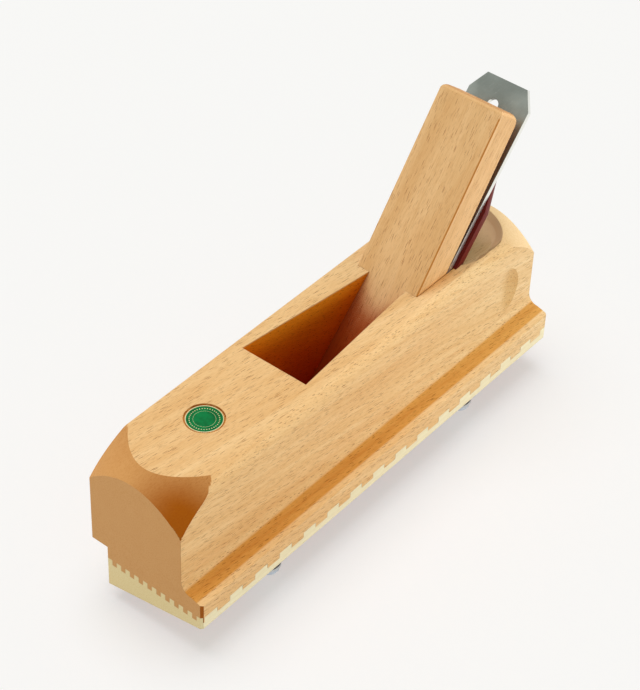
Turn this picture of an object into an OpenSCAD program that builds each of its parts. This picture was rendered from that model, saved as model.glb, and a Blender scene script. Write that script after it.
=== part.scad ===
// Dovetail plane: a wooden plane whose sole slopes by the dovetail angle.
// Working frame: x runs from the sole's low side towards the fence side, y from toe to heel, z up.
// The finished part is moved so that its origin is the middle of its bounding box, at the bottom.

/* [Body] */
// Length of the body from toe to heel
body_l = 270; // [255:1:300]
// Height of the body's top above the sole's low edge
body_h = 79.5; // [76:0.5:90]
// Width of the sole, from its low side to the outer edge of the flange
sole_w = 58.3; // [56:0.1:64]
// How far the body stands out over the sole's low side
step_in = 9.6; // [8:0.1:14]
// Height of that step above the sole's low edge
step_z = 24.5; // [23:0.5:30]
// Distance from the sole's low side to the body's grooved side
side_x = 45.8; // [44.5:0.1:47]
// Radius of the cove between the grooved side and the flange
cove_r = 6; // [4:0.5:7]
// Height of the flange's top at the cove
flange_z = 27.2; // [26:0.1:30]
// Height of the flange's top at its outer edge
flange_edge_z = 25.3; // [24.5:0.1:25.8]
// Chamfer on the flange's upright corners
flange_chamfer = 1.2; // [0.5:0.1:2.5]
// Width on the top of the rounded edge on the grooved side
top_round = 4.5; // [2:0.5:5]
// Radius of that rounding, which meets the top in a crisp line where it is larger than the width
top_round_r = 9; // [5:1:12]
// Rounding of the top edge on the shoulder side
top_round_low = 1.5; // [1:0.5:3]

/* [Rounded ends] */
// Radius of the rounding where its axis leaves the toe
arch_r = 31.5; // [31:0.1:32]
// Height at which the rounding's axis leaves the toe
arch_z = 57.2; // [56.8:0.1:57.6]
// How far that place lies aside from the middle of the toe
arch_aside = 1.6; // [0:0.1:2]
// Fall of the rounding's axis towards the middle of the body
arch_fall = 34.9; // [34.4:0.1:35.4]
// Half angle at which the rounding opens where its axis leaves the toe
arch_flare = 53.4; // [53:0.1:53.8]
// Radius along the rounding's bowed wall
arch_bow_r = 124; // [122:1:126]
// Height above which the ends are rounded
arch_foot = 44; // [42:0.5:50]

/* [Finger groove] */
// Radius across the finger groove
groove_r = 48; // [42:1:60]
// Depth of the groove at its heel end
groove_depth = 2.6; // [1:0.1:2.6]
// Height of the groove's middle at its heel end
groove_z = 48.5; // [46:0.5:52]
// Height of the groove's middle where it fades out
groove_fade_z = 54; // [52:0.5:58]
// Distance from the toe at which the groove fades out
groove_fade_y = 40; // [20:1:70]
// Distance from the heel to the middle of the groove's round end
groove_end = 28; // [22:1:30]

/* [Sole] */
// Slope of the sole, which is the dovetail's angle
dovetail_angle = 10; // [8:0.5:11]
// Height of the joint between sole and body, midway up the fingers
joint_z = 15.8; // [15:0.1:17]
// Height of the joint's fingers
finger_h = 3.2; // [2:0.1:3.4]
// Spacing of the fingers along the toe
finger_pitch = 5.5; // [4.5:0.1:8]
// Angle between the fingers and the length of the plane
finger_skew = 17.4; // [12:0.2:22]

/* [Throat and bed] */
// Slope of the bed that the iron lies on
bed_angle = 48; // [46:0.5:50]
// Distance from the toe to the bed's top
bed_y = 212.3; // [211:0.1:214]
// Distance from the toe to the throat's front edge
throat_y = 98.6; // [97:0.1:104]
// Width of the throat at its front edge
throat_w = 39.1; // [38.5:0.1:41]
// How far the throat's front end lies aside, towards the shoulder side
throat_skew = 1.5; // [0:0.1:2]
// Width left between the two abutments at the wedge
abutment_gap = 22.5; // [20:0.5:26]
// Distance from the toe to the front of the mouth
mouth_y = 134.5; // [133:0.1:135]
// Height of the mouth's upright front lip
mouth_lip = 6; // [4:0.5:8]
// Height at which the wedge's room ends above the mouth
wedge_room_z = 16; // [15:0.5:18]
// Distance from the sole's low side to the middle of the throat, wedge and iron
throat_x = 17.2; // [17.2:0.1:17.6]
// Clearance at the sides of the iron in its slot
slot_clear = 0.5; // [0.3:0.1:0.8]

/* [Palm hollow and hand guard] */
// Radius of the palm hollow's rim
hollow_r = 24.3; // [22:0.1:24.5]
// How much longer than wide the hollow is
hollow_longer = 8; // [4:0.5:9]
// Distance from the bed's top to the middle of the hollow
hollow_back = 22.7; // [22:0.1:24]
// Depth of the hollow in its middle
hollow_depth = 7.6; // [6:0.2:9]
// Slope of the hollow's wall
hollow_slope = 48; // [42:1:60]
// Radius of the hollow's dished floor
hollow_dish_r = 90; // [75:1:150]
// Radius of the hand guard's rounded sides
guard_r = 19.9; // [19:0.1:20.4]
// Thickness of the hand guard
guard_t = 11.5; // [10:0.5:12]
// Length of the guard above the bed's top
guard_l = 58; // [50:1:60]
// Distance from the bed's top at which the guard starts to narrow
guard_lean_y = 31.5; // [25:0.5:34]
// Angle at which its sides then lean in
guard_lean = 12.9; // [8:0.1:15]
// Radius of the guard's domed end
guard_dome_r = 24; // [22:0.5:26]

/* [Iron] */
// Width of the iron
iron_w = 36; // [34:0.5:36.5]
// Thickness of the iron
iron_t = 3; // [2.5:0.1:3.6]
// Length of the iron above the bed's top
iron_above = 94.2; // [85:0.5:100]
// Width of the iron's clipped corners
iron_clip_w = 6; // [3:0.5:8]
// Length of the iron's clipped corners
iron_clip_l = 10; // [5:0.5:12]
// Diameter of the iron's hole
iron_hole_d = 6; // [4:0.5:9]
// Distance from the iron's top end to the middle of its hole
iron_hole_down = 13.6; // [11:0.1:16]
// How far that hole lies aside, towards the shoulder side
iron_hole_aside = 1.6; // [0:0.1:3]
// How far the cutting edge stands out of the sole
edge_out = 0.2; // [0.1:0.05:0.5]
// Sharpening angle of the iron
bevel_angle = 25; // [23:1:28]

/* [Wedge] */
// Slope of the wedge's front face and of the abutments
wedge_angle = 52.3; // [51:0.1:54]
// Distance from the toe to the abutments at the body's top
abutment_y = 182.7; // [182:0.1:184]
// Thickness of the wedge above the body
wedge_t = 18.8; // [17:0.1:19]
// Length of the wedge above the body
wedge_above = 99.1; // [85:0.1:105]
// Length of the wedge inside the body
wedge_below = 66; // [58:1:68]
// Length of the wedge's prongs
prong_l = 13; // [10:1:32]
// Width of each prong
prong_w = 7; // [5:0.5:7.5]
// Rounding of the wedge's back corner at its top end
wedge_round = 6; // [3:0.5:8]
// Rounding of the wedge's other edges at its top end
wedge_ease = 3; // [1:0.5:4]

/* [Badge] */
// Distance from the toe to the middle of the badge
badge_y = 50.7; // [48:0.1:60]
// Distance from the throat's middle line to the badge's middle
badge_aside = 2.3; // [0:0.1:4]
// Diameter of the badge's recess
badge_recess_d = 19.8; // [14:0.2:22]
// Depth of the recess
badge_recess_h = 1.2; // [1:0.1:2]
// Clearance around the badge in its recess
badge_clear = 0.9; // [0.1:0.1:1]
// Width of the badge's metal rim
badge_rim_w = 0.5; // [0.5:0.1:1.5]
// Thickness of the badge's rim
badge_rim_h = 0.9; // [0.6:0.1:1]
// How much lower the badge's disc lies than its rim
badge_sunk = 0.2; // [0.1:0.05:0.4]

/* [Fence] */
// Distance from the sole's low side to the fence's guiding face
fence_in = 12; // [11:0.5:12.5]
// Width of the fence
fence_w = 20; // [18:0.5:20]
// How far the fence hangs below the sole's low edge
fence_drop = 8; // [6:0.5:12]
// Length of the fence
fence_l = 250; // [240:1:255]
// Depth of the fence's hollow under the iron's edge
fence_relief_h = 1.6; // [1:0.1:2]
// Length of that hollow
fence_relief_l = 26; // [22:1:34]
// How far the relief reaches behind the front of the mouth, past its middle
fence_relief_heel = 2; // [0:0.5:4]
// How far the fence can be moved outwards
fence_travel = 14; // [8:0.5:14]
// Distance from the toe to the fence's first arm
arm_toe_y = 54; // [40:1:70]
// Distance from the heel to the fence's second arm
arm_heel_y = 66; // [50:1:80]
// Width of the fence's slotted arms
arm_w = 15; // [14:0.5:18]
// Thickness of the arms
arm_t = 2; // [1.5:0.1:2.5]
// Distance from the fence's guiding face to the arms' inner ends
arm_in = 3; // [2:0.5:4]
// How far the arms reach past the clamp screws
arm_end = 5.2; // [4.5:0.1:6]
// Distance from the sole's low side to the clamp screws, along the slope
clamp_x = 52.4; // [52:0.1:53]

/* [Nicker] */
// Distance from the toe to the middle of the nicker
nicker_y = 85; // [78:0.5:88]
// Width of the nicker
nicker_w = 11; // [10:0.5:12]
// Thickness of the nicker
nicker_t = 2.5; // [2:0.1:3]
// Height of the nicker
nicker_h = 50; // [46:1:54]
// How far the nicker's point is raised above the sole's low edge
nicker_up = 0.6; // [0:0.1:1]
// How far the nicker can be raised
nicker_raise = 6; // [3:0.5:7]
// How far the nicker can be lowered below the sole
nicker_lower = 3; // [1:0.5:3.5]
// Height of the nicker's clamp screw
nicker_screw_z = 40; // [38:0.5:42]
// Rise of the two edges of the nicker's point
nicker_point = 55; // [40:1:65]
// Bevel on the inner side of the nicker's point
nicker_bevel = 18; // [14:1:25]

/* [Depth stop] */
// Distance from the heel to the middle of the depth stop
stop_back = 65; // [55:0.5:67]
// Width of the depth stop
stop_w = 26; // [20:0.5:28]
// Height of the depth stop's plate
stop_h = 42; // [42:0.5:46]
// Thickness of the depth stop's plate
stop_t = 2; // [1.5:0.1:2.4]
// Length of the foot that turns in under the step
stop_foot = 8.4; // [5:0.1:8.8]
// How far the depth stop can be lowered
stop_travel = 16; // [8:0.5:16]
// Height of the depth stop's clamp screw
stop_screw_z = 41; // [39:0.5:43]

/* [Fastenings] */
// Diameter of the clamp screws
screw_d = 5; // [4:0.1:5.2]
// Diameter of the clamp screws' heads
head_d = 9.5; // [8:0.1:10]
// Height of the clamp screws' heads
head_h = 3.6; // [3:0.1:4]
// Width of the slot in the heads
driver_w = 1.2; // [0.8:0.1:1.6]
// Length of the clamp screws in their inserts
grip_l = 9; // [7:0.5:9.5]
// Diameter of the washers
washer_d = 12; // [11:0.1:12.2]
// Thickness of the washers
washer_t = 1.2; // [1:0.1:1.6]
// Outer diameter of the threaded inserts
insert_d = 8; // [7.2:0.1:9]
// Length of the threaded inserts
insert_l = 10; // [9.5:0.5:11]
// Diameter of the arm screws
small_d = 2.6; // [2:0.1:3]
// Distance from an arm's inner end to its first screw
small_in = 5; // [4:0.5:5.5]
// Distance between the two screws of an arm
small_pitch = 7; // [6:0.5:8]
// Width of the slot in the arm screws' heads
small_slot_w = 0.6; // [0.4:0.1:0.8]
// Depth of the slot in the arm screws' heads
small_slot_h = 0.7; // [0.4:0.1:0.9]
// Length of the arm screws
small_l = 7; // [4:0.5:7.5]
// Play between a screw and its slot, in all
slot_play = 0.6; // [0.3:0.1:1]
// Gap between flat faces that slide on each other
slide_fit = 0.1; // [0.05:0.01:0.2]
// Radial gap between a turning screw and its insert
turn_fit = 0.05; // [0.02:0.01:0.1]

/* [Hidden] */
$fn = 96;

// How far a cutting shape runs past the face that it cuts
past = 1;
// Size of the blocks that stand for a half space
far = 400;

// Derived places of the throat, the wedge and the iron
slot_w = iron_w + 2 * slot_clear;
bed_run = body_h / tan(bed_angle);
bed_foot_y = bed_y - bed_run;
// The iron is drawn this much too long, and the bevel cuts it off
iron_spare = 30;
iron_below = (body_h + iron_spare) / sin(bed_angle);
iron_rise = slide_fit + iron_t;
wedge_w = slot_w - 4 * slide_fit;
wedge_foot_y = abutment_y - (body_h - wedge_room_z) / tan(wedge_angle);
// Where the wedge's straight back would meet the iron, in the wedge's own frame
wedge_lean = wedge_angle - bed_angle;
iron_front_y = bed_y - (iron_rise + slide_fit) / sin(bed_angle);
lean_y = (iron_front_y - abutment_y) * cos(wedge_angle);
lean_z = -(iron_front_y - abutment_y) * sin(wedge_angle);
function iron_at(y) = lean_z - (y - lean_y) * tan(wedge_lean);
wedge_kink = lean_y + (wedge_t + lean_z) / tan(wedge_lean);

// Derived places of the fence and its clamps
arm_ys = [arm_toe_y, body_l - arm_heel_y];
arm_tip = clamp_x + arm_end;
slot_d = screw_d + slot_play;
arm_slot_in = clamp_x - fence_travel;
arm_root = fence_in + arm_in;
fence_y = (body_l - fence_l) / 2;
relief_y = mouth_y + fence_relief_heel - fence_relief_l / 2;
small_x = [arm_root + small_in, arm_root + small_in + small_pitch];

// Derived places on the shoulder side
stop_y = body_l - stop_back;
stop_slot_top = stop_screw_z + stop_travel;
stop_plate_z = step_z - stop_t;

// How high a slotted head stands, beside its slot
head_top = sqrt(head_d * head_d - driver_w * driver_w / 4) - head_d + head_h;

// The part's bounding box in the working frame, and the shift that puts its origin in place
box_x = [-step_in - washer_t - 2 * slide_fit - head_top, sole_w];
box_y = [0, bed_y + iron_above * cos(bed_angle) - slide_fit * sin(bed_angle)];
shift = [-(box_x[0] + box_x[1]) / 2, -(box_y[0] + box_y[1]) / 2, fence_drop];

module place() translate(shift) children();

// Frames that follow the bed, the wedge's front face and the sloping sole
module on_bed() translate([throat_x, bed_y, body_h]) rotate([bed_angle, 0, 0]) children();
module on_abutment() translate([throat_x, abutment_y, body_h]) rotate([wedge_angle, 0, 0]) children();
module on_sole() rotate([0, -dovetail_angle, 0]) children();

// A side outline in y and z, drawn out across the plane from x0 to x1
module side_prism(x0, x1, points)
  translate([x0, 0, 0]) rotate([90, 0, 90]) linear_extrude(x1 - x0) polygon(points);

// A slot with round ends from a to b along x, cut downwards
module round_slot(a, b, d, h) {
  translate([a, -d / 2, 0]) cube([b - a, d, h]);
  for (x = [a, b]) translate([x, 0, 0]) cylinder(d = d, h = h);
}

// What takes the rounded top edge off a block, along y: w wide on the top, with the radius r
module edge_cutter(x, w, r, side) {
  drop = sqrt(r * r - (r - w) * (r - w));
  difference() {
    translate([side > 0 ? x - w : x - past, -past, body_h - drop])
      cube([w + past, body_l + 2 * past, drop + past]);
    translate([x - side * r, -2 * past, body_h - drop]) rotate([-90, 0, 0])
      cylinder(r = r, h = body_l + 4 * past);
  }
}

// The bowed cone that rounds the toe's upper corners
module arch_cone() {
  // How far the cone runs into the body, and the middle of its wall's bow
  reach = 70;
  bow_aside = arch_r - arch_bow_r * cos(arch_flare);
  bow_along = arch_bow_r * sin(arch_flare);
  translate([side_x / 2 - step_in / 2 - arch_aside, 0, arch_z]) rotate([-arch_fall - 90, 0, 0])
    rotate_extrude($fn = 128) intersection() {
      translate([bow_aside, bow_along]) circle(r = arch_bow_r);
      translate([0, -reach]) square([2 * reach, 2 * reach]);
    }
}

// What the rounding takes off one end
module end_rounding() {
  // Length of the end that is rounded
  depth = 44;
  difference() {
    translate([-step_in - past, -past, arch_foot])
      cube([side_x + step_in + 2 * past, depth, body_h]);
    arch_cone();
  }
}

// The flange with the cove above it
module flange() {
  difference() {
    rotate([90, 0, 0]) translate([0, 0, -body_l]) linear_extrude(body_l) polygon([
      [0, 0],
      [sole_w, 0],
      [sole_w, flange_edge_z],
      [side_x + cove_r, flange_z],
      [side_x + cove_r, flange_z + cove_r],
      [side_x, flange_z + cove_r],
      [side_x - cove_r, flange_z + cove_r],
      [side_x - cove_r, step_z],
      [0, step_z]
    ]);
    translate([side_x + cove_r, -past, flange_z + cove_r]) rotate([-90, 0, 0])
      cylinder(r = cove_r, h = body_l + 2 * past);
    for (s = [0, 1]) translate([sole_w, s * body_l, 0]) rotate([0, 0, s > 0 ? 45 : -45])
      translate([-flange_chamfer / sqrt(2), -far / 2, -past])
        cube([far, far, flange_z + cove_r + 2 * past]);
  }
}

// The long shallow finger groove, as deep as it gets at its round heel end
module finger_groove() {
  run = body_l - groove_end - groove_fade_y;
  drift = atan(groove_depth / run);
  sink = atan((groove_fade_z - groove_z) / run);
  translate([side_x + groove_r - groove_depth, body_l - groove_end, groove_z]) {
    rotate([90 - sink, 0, drift]) rotate_extrude($fn = 128) intersection() {
      union() {
        circle(r = groove_r);
        square([groove_r, body_l]);
      }
      translate([0, -groove_r]) square([groove_r, body_l + groove_r]);
    }
  }
}

// The palm hollow behind the iron: a sloping wall, a little longer than wide, down to a dished floor
module palm_hollow() {
  low = hollow_depth + past;
  low_r = hollow_r - low / tan(hollow_slope);
  high_r = hollow_r + past / tan(hollow_slope);
  // How far behind the bed the cut ends, inside the guard's root
  behind = 2;
  difference() {
    translate([throat_x, bed_y + hollow_back, body_h]) intersection() {
      for (y = [-hollow_longer / 2, hollow_longer / 2])
        translate([0, y, -low]) cylinder(r1 = low_r, r2 = high_r, h = low + past);
      translate([0, 0, hollow_dish_r - hollow_depth]) sphere(r = hollow_dish_r, $fn = 128);
    }
    on_bed() translate([-far / 2, -far / 2, -behind]) cube(far);
  }
}

// The hand guard that rises behind the iron, narrower towards its domed end
module hand_guard() {
  // How far the guard reaches down into the body
  root = 16;
  end = guard_l + past;
  end_r = guard_r - (end - guard_lean_y) * tan(guard_lean);
  on_bed() intersection() {
    translate([-far / 2, -root, -guard_t]) cube([far, root + end, guard_t]);
    rotate([-90, 0, 0]) rotate_extrude() polygon([
      [0, -root - past],
      [guard_r, -root - past],
      [guard_r, guard_lean_y],
      [end_r, end],
      [0, end]
    ]);
    union() {
      translate([0, guard_l - guard_dome_r, 0]) sphere(r = guard_dome_r, $fn = 128);
      translate([-far / 2, -far / 2, -guard_t - past])
        cube([far, far / 2 + guard_l - guard_dome_r, guard_t + 2 * past]);
    }
  }
}

// The room for the wedge and the iron, as wide as the slot
module slot_room() {
  top = body_h + far / 4;
  side_prism(throat_x - slot_w / 2, throat_x + slot_w / 2, [
    [abutment_y + (top - body_h) / tan(wedge_angle), top],
    [bed_y + (top - body_h) / tan(bed_angle), top],
    [bed_foot_y - past / tan(bed_angle), -past],
    [mouth_y, -past],
    [mouth_y, mouth_lip],
    [wedge_foot_y, wedge_room_z]
  ]);
}

// The chip well ahead of the wedge, which narrows towards the abutments
module chip_well() {
  top = body_h + past;
  // How far the cut between the abutments runs on into the wedge's room
  run_on = 6;
  past_y = abutment_y + run_on;
  intersection() {
    translate([throat_x, 0, 0]) linear_extrude(far) polygon([
      [-throat_w / 2 - throat_skew, throat_y],
      [throat_w / 2 - throat_skew, throat_y],
      [abutment_gap / 2, abutment_y],
      [abutment_gap / 2, past_y],
      [-abutment_gap / 2, past_y],
      [-abutment_gap / 2, abutment_y]
    ]);
    side_prism(throat_x - slot_w, throat_x + slot_w, [
      [throat_y, top],
      [past_y, top],
      [past_y, body_h],
      [wedge_foot_y + 2 * past, wedge_room_z],
      [mouth_y + past, mouth_lip],
      [mouth_y, mouth_lip],
      [throat_y, body_h]
    ]);
  }
}

// Everything below the joint between sole and body, with its diagonal fingers
module below_joint() {
  low = joint_z - finger_h / 2;
  step = finger_pitch * cos(finger_skew);
  reach = (body_l * sin(finger_skew) + sole_w) / step;
  translate([-step_in - past, -past, -fence_drop - past])
    cube([sole_w + step_in + 2 * past, body_l + 2 * past, low + fence_drop + past]);
  rotate([0, 0, -finger_skew])
    for (i = [-ceil(reach) : ceil(reach)])
      translate([i * step, -far / 4, low - past]) cube([step / 2, far, finger_h + past]);
}

// The half space below the sloping sole
module below_sole() on_sole() translate([-far / 4, -past, -far]) cube([far, body_l + 2 * past, far]);

// Bores and recesses for the clamps, shared by the body and the sole
module clamp_bores() {
  on_sole() for (y = arm_ys) translate([clamp_x, y, -past]) cylinder(d = insert_d, h = insert_l + past);
}

// The nicker's dado, from the sole up into the side of the body
module nicker_room() {
  w = nicker_w + 2 * slide_fit;
  // Spare height over the nicker when it is fully raised
  spare = 0.5;
  top = nicker_up + nicker_h + nicker_raise + slide_fit + spare;
  translate([-step_in - past, nicker_y - w / 2, -past])
    cube([step_in + past + nicker_t + slide_fit, w, top + past]);
  translate([nicker_t, nicker_y, nicker_screw_z]) rotate([0, 90, 0])
    cylinder(d = insert_d, h = insert_l + slide_fit);
  translate([-step_in - past, nicker_y, nicker_screw_z]) rotate([0, 90, 0])
    cylinder(d = washer_d + 2 * slot_play, h = step_in + past);
}

// The dado of the depth stop and the bore of its insert
module depth_stop_room() {
  w = stop_w + 2 * slide_fit;
  top = stop_plate_z + stop_h + slide_fit;
  translate([-step_in - past, stop_y - w / 2, step_z - past])
    cube([stop_t + slide_fit + past, w, top - step_z + past]);
  translate([-step_in + stop_t, stop_y, stop_screw_z]) rotate([0, 90, 0])
    cylinder(d = insert_d, h = insert_l + slide_fit);
}

// The round recess that the badge is pressed into
module badge_recess() {
  translate([throat_x - badge_aside, badge_y, body_h - badge_recess_h])
    cylinder(d = badge_recess_d, h = badge_recess_h + past);
}

module body() {
  color("burlywood") place() difference() {
    union() {
      difference() {
        union() {
          difference() {
            translate([-step_in, 0, step_z]) cube([side_x + step_in, body_l, body_h - step_z]);
            edge_cutter(side_x, top_round, top_round_r, 1);
            edge_cutter(-step_in, top_round_low, top_round_low, -1);
            end_rounding();
            translate([0, body_l, 0]) mirror([0, 1, 0]) end_rounding();
            finger_groove();
          }
          flange();
        }
        palm_hollow();
      }
      hand_guard();
    }
    below_joint();
    slot_room();
    chip_well();
    clamp_bores();
    nicker_room();
    depth_stop_room();
    badge_recess();
  }
}

module sole() {
  color("wheat") place() difference() {
    intersection() {
      flange();
      below_joint();
    }
    below_sole();
    slot_room();
    clamp_bores();
    nicker_room();
  }
}

module wedge() {
  foot_z = iron_at(-wedge_below);
  // The prongs' tips: how far they run on, and how high as a share of their end
  tip = 3;
  tip_share = 0.6;
  cut = wedge_w / 2 - prong_w;
  color("tan") place() on_abutment() difference() {
    intersection() {
      side_prism(-wedge_w / 2, wedge_w / 2, [
        [-wedge_below, -slide_fit],
        [wedge_above, -slide_fit],
        [wedge_above, -wedge_t],
        [wedge_kink, -wedge_t],
        [-wedge_below, foot_z],
        [-wedge_below - tip, foot_z * tip_share]
      ]);
      union() {
        translate([-wedge_w, -far / 2, -far / 2])
          cube([2 * wedge_w, far / 2 + wedge_above - wedge_round, far]);
        translate([-wedge_w, 0, -wedge_t + wedge_round])
          cube([2 * wedge_w, wedge_above, wedge_t - wedge_round - wedge_ease]);
        translate([-wedge_w, wedge_above - wedge_round, -wedge_t + wedge_round]) rotate([0, 90, 0])
          cylinder(r = wedge_round, h = 2 * wedge_w);
        translate([-wedge_w, wedge_above - wedge_ease, -slide_fit - wedge_ease]) rotate([0, 90, 0])
          cylinder(r = wedge_ease, h = 2 * wedge_w);
        translate([-wedge_w, 0, -wedge_t + wedge_round])
          cube([2 * wedge_w, wedge_above - wedge_ease, wedge_t - wedge_round]);
      }
    }
    for (s = [-1, 1]) difference() {
      translate([s > 0 ? wedge_w / 2 - wedge_ease : -wedge_w / 2 - past, wedge_above - wedge_ease, -far / 2])
        cube([wedge_ease + past, wedge_ease + past, far]);
      translate([s * (wedge_w / 2 - wedge_ease), wedge_above - wedge_ease, -far / 2])
        cylinder(r = wedge_ease, h = far);
    }
    translate([-cut, -wedge_below - far / 4, -far / 2]) cube([2 * cut, far / 4 + prong_l, far]);
  }
}

module iron() {
  edge_y0 = -(body_h + edge_out + iron_rise * cos(bed_angle)) / sin(bed_angle);
  edge_slope = atan(tan(dovetail_angle) / sin(bed_angle));
  color("slategray") place() on_bed() difference() {
    translate([-iron_w / 2, -iron_below, slide_fit]) cube([iron_w, iron_below + iron_above, iron_t]);
    for (s = [-1, 1]) translate([s * iron_w / 2, iron_above, 0])
      linear_extrude(2 * iron_t) polygon([
        [-s * iron_clip_w, 0],
        [-s * iron_clip_w, past],
        [s * past, past],
        [s * past, -iron_clip_l],
        [0, -iron_clip_l]
      ]);
    translate([-iron_hole_aside, iron_above - iron_hole_down, -past])
      cylinder(d = iron_hole_d, h = iron_t + 2 * past);
    translate([-throat_x, edge_y0, iron_rise]) rotate([0, 0, edge_slope]) rotate([90 - bevel_angle, 0, 0])
      translate([-far / 2, -far, -far]) cube([far, far, 2 * far]);
  }
}

module badge_disc() {
  r = badge_recess_d / 2 - badge_clear - badge_rim_w;
  color("darkgreen") place() translate([throat_x - badge_aside, badge_y, body_h - badge_recess_h])
    cylinder(r = r, h = badge_rim_h - badge_sunk);
}

module badge_rim() {
  r = badge_recess_d / 2 - badge_clear;
  color("gold") place() translate([throat_x - badge_aside, badge_y, body_h - badge_recess_h])
    difference() {
      cylinder(r = r, h = badge_rim_h);
      translate([0, 0, -past]) cylinder(r = r - badge_rim_w, h = badge_rim_h + 2 * past);
    }
}

module fence() {
  color("burlywood") place() difference() {
    translate([fence_in, fence_y, -fence_drop]) cube([fence_w, fence_l, far / 10]);
    on_sole() {
      translate([-far / 4, 0, -slide_fit]) cube([far, body_l, far]);
      translate([0, relief_y, -slide_fit - fence_relief_h]) cube([far, fence_relief_l, far]);
      for (y = arm_ys) translate([0, y, -slide_fit - arm_t]) {
        translate([arm_root, -arm_w / 2, 0]) cube([far, arm_w, far]);
        for (x = small_x) translate([x, 0, -small_l]) cylinder(d = small_d, h = small_l + past);
      }
    }
  }
}

module fence_arms() {
  color("silver") place() on_sole() for (y = arm_ys) translate([0, y, -slide_fit - arm_t]) difference() {
    translate([arm_root, -arm_w / 2, 0]) cube([arm_tip - arm_root, arm_w, arm_t]);
    translate([0, 0, -past]) round_slot(arm_slot_in, clamp_x, slot_d, arm_t + 2 * past);
    for (x = small_x) translate([x, 0, 0]) {
      translate([0, 0, -past]) cylinder(d = small_d + 2 * slide_fit, h = arm_t + 2 * past);
      cylinder(d1 = small_d + 2 * slide_fit, d2 = small_d + 2 * slide_fit + 2 * arm_t, h = arm_t);
    }
  }
}

module fence_arm_screws() {
  // How far the shank runs up into the head
  neck = 0.5;
  color("gold") place() on_sole() for (y = arm_ys, x = small_x) translate([x, y, -slide_fit - arm_t]) {
    translate([0, 0, neck - small_l]) cylinder(d = small_d, h = small_l);
    difference() {
      cylinder(d1 = small_d, d2 = small_d + 2 * arm_t, h = arm_t);
      translate([-arm_t - small_d, -small_slot_w / 2, arm_t - small_slot_h])
        cube([2 * arm_t + 2 * small_d, small_slot_w, past]);
    }
  }
}

// A slotted pan head with its shank along +z, the head hanging below z = 0
module clamp_screw(shank) {
  // Depth of the driver's slot as a share of the head's height
  driver_share = 0.45;
  difference() {
    union() {
      intersection() {
        translate([0, 0, -head_h]) cylinder(d = head_d, h = head_h);
        translate([0, 0, head_d - head_h]) sphere(r = head_d);
      }
      cylinder(d = screw_d, h = shank);
    }
    translate([-head_d, -driver_w / 2, -head_h - past])
      cube([2 * head_d, driver_w, past + head_h * driver_share]);
  }
}

module clamp_washer() difference() {
  translate([0, 0, -washer_t]) cylinder(d = washer_d, h = washer_t);
  translate([0, 0, -washer_t - past]) cylinder(d = slot_d, h = washer_t + 2 * past);
}

module clamp_insert() difference() {
  cylinder(d = insert_d, h = insert_l);
  translate([0, 0, -past]) cylinder(d = screw_d + 2 * turn_fit, h = insert_l + 2 * past);
}

// The seat of a fence clamp: the washer's upper face lies just under the arm
arm_seat = 2 * slide_fit + arm_t;

module fence_screw_at(y) on_sole() translate([clamp_x, y, -arm_seat - washer_t - slide_fit])
  clamp_screw(arm_seat + washer_t + slide_fit + grip_l);

module fence_screw_toe() {
  color("lightsteelblue") place() fence_screw_at(arm_ys[0]);
}

module fence_screw_heel() {
  color("lightsteelblue") place() fence_screw_at(arm_ys[1]);
}

module fence_washers() {
  color("silver") place() on_sole() for (y = arm_ys) translate([clamp_x, y, -arm_seat]) clamp_washer();
}

module fence_inserts() {
  color("goldenrod") place() on_sole() for (y = arm_ys) translate([clamp_x, y, 0]) clamp_insert();
}

// Clamps on the shoulder side: x is where the clamped plate's outer face lies
module side_clamp(x, y, z) translate([x, y, z]) rotate([0, 90, 0]) children();

module nicker() {
  low = nicker_screw_z - nicker_raise;
  high = nicker_screw_z + nicker_lower;
  color("slategray") place() difference() {
    translate([0, nicker_y - nicker_w / 2, nicker_up]) cube([nicker_t, nicker_w, nicker_h]);
    translate([-past, nicker_y, 0]) rotate([0, 90, 0]) rotate([0, 0, 180])
      round_slot(low, high, slot_d, nicker_t + 2 * past);
    for (s = [-1, 1]) translate([-past, nicker_y, nicker_up]) rotate([s * nicker_point, 0, 0])
      translate([0, s > 0 ? 0 : -far, -far]) cube([far, far, far]);
    translate([0, nicker_y, nicker_up]) rotate([0, nicker_bevel, 0])
      translate([0, -far / 2, -far / 2]) cube([far, far, far]);
  }
}

module nicker_washer() {
  color("silver") place() side_clamp(-slide_fit, nicker_y, nicker_screw_z) clamp_washer();
}

module nicker_screw() {
  color("lightsteelblue") place() side_clamp(-washer_t - 2 * slide_fit, nicker_y, nicker_screw_z)
    clamp_screw(washer_t + 2 * slide_fit + nicker_t + grip_l);
}

module nicker_insert() {
  color("goldenrod") place() side_clamp(nicker_t + slide_fit, nicker_y, nicker_screw_z) clamp_insert();
}

module depth_stop() {
  color("silver") place() difference() {
    union() {
      translate([-step_in, stop_y - stop_w / 2, stop_plate_z]) cube([stop_t, stop_w, stop_h]);
      translate([-step_in, stop_y - stop_w / 2, stop_plate_z]) cube([stop_foot, stop_w, stop_t - slide_fit]);
    }
    translate([-step_in - past, stop_y, 0]) rotate([0, 90, 0]) rotate([0, 0, 180])
      round_slot(stop_screw_z, stop_slot_top, slot_d, stop_t + 2 * past);
  }
}

module depth_stop_washer() {
  color("silver") place() side_clamp(-step_in - slide_fit, stop_y, stop_screw_z) clamp_washer();
}

module depth_stop_screw() {
  color("lightsteelblue") place() side_clamp(-step_in - washer_t - 2 * slide_fit, stop_y, stop_screw_z)
    clamp_screw(washer_t + 3 * slide_fit + stop_t + grip_l);
}

module depth_stop_insert() {
  color("goldenrod") place() side_clamp(-step_in + stop_t + slide_fit, stop_y, stop_screw_z) clamp_insert();
}

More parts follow.
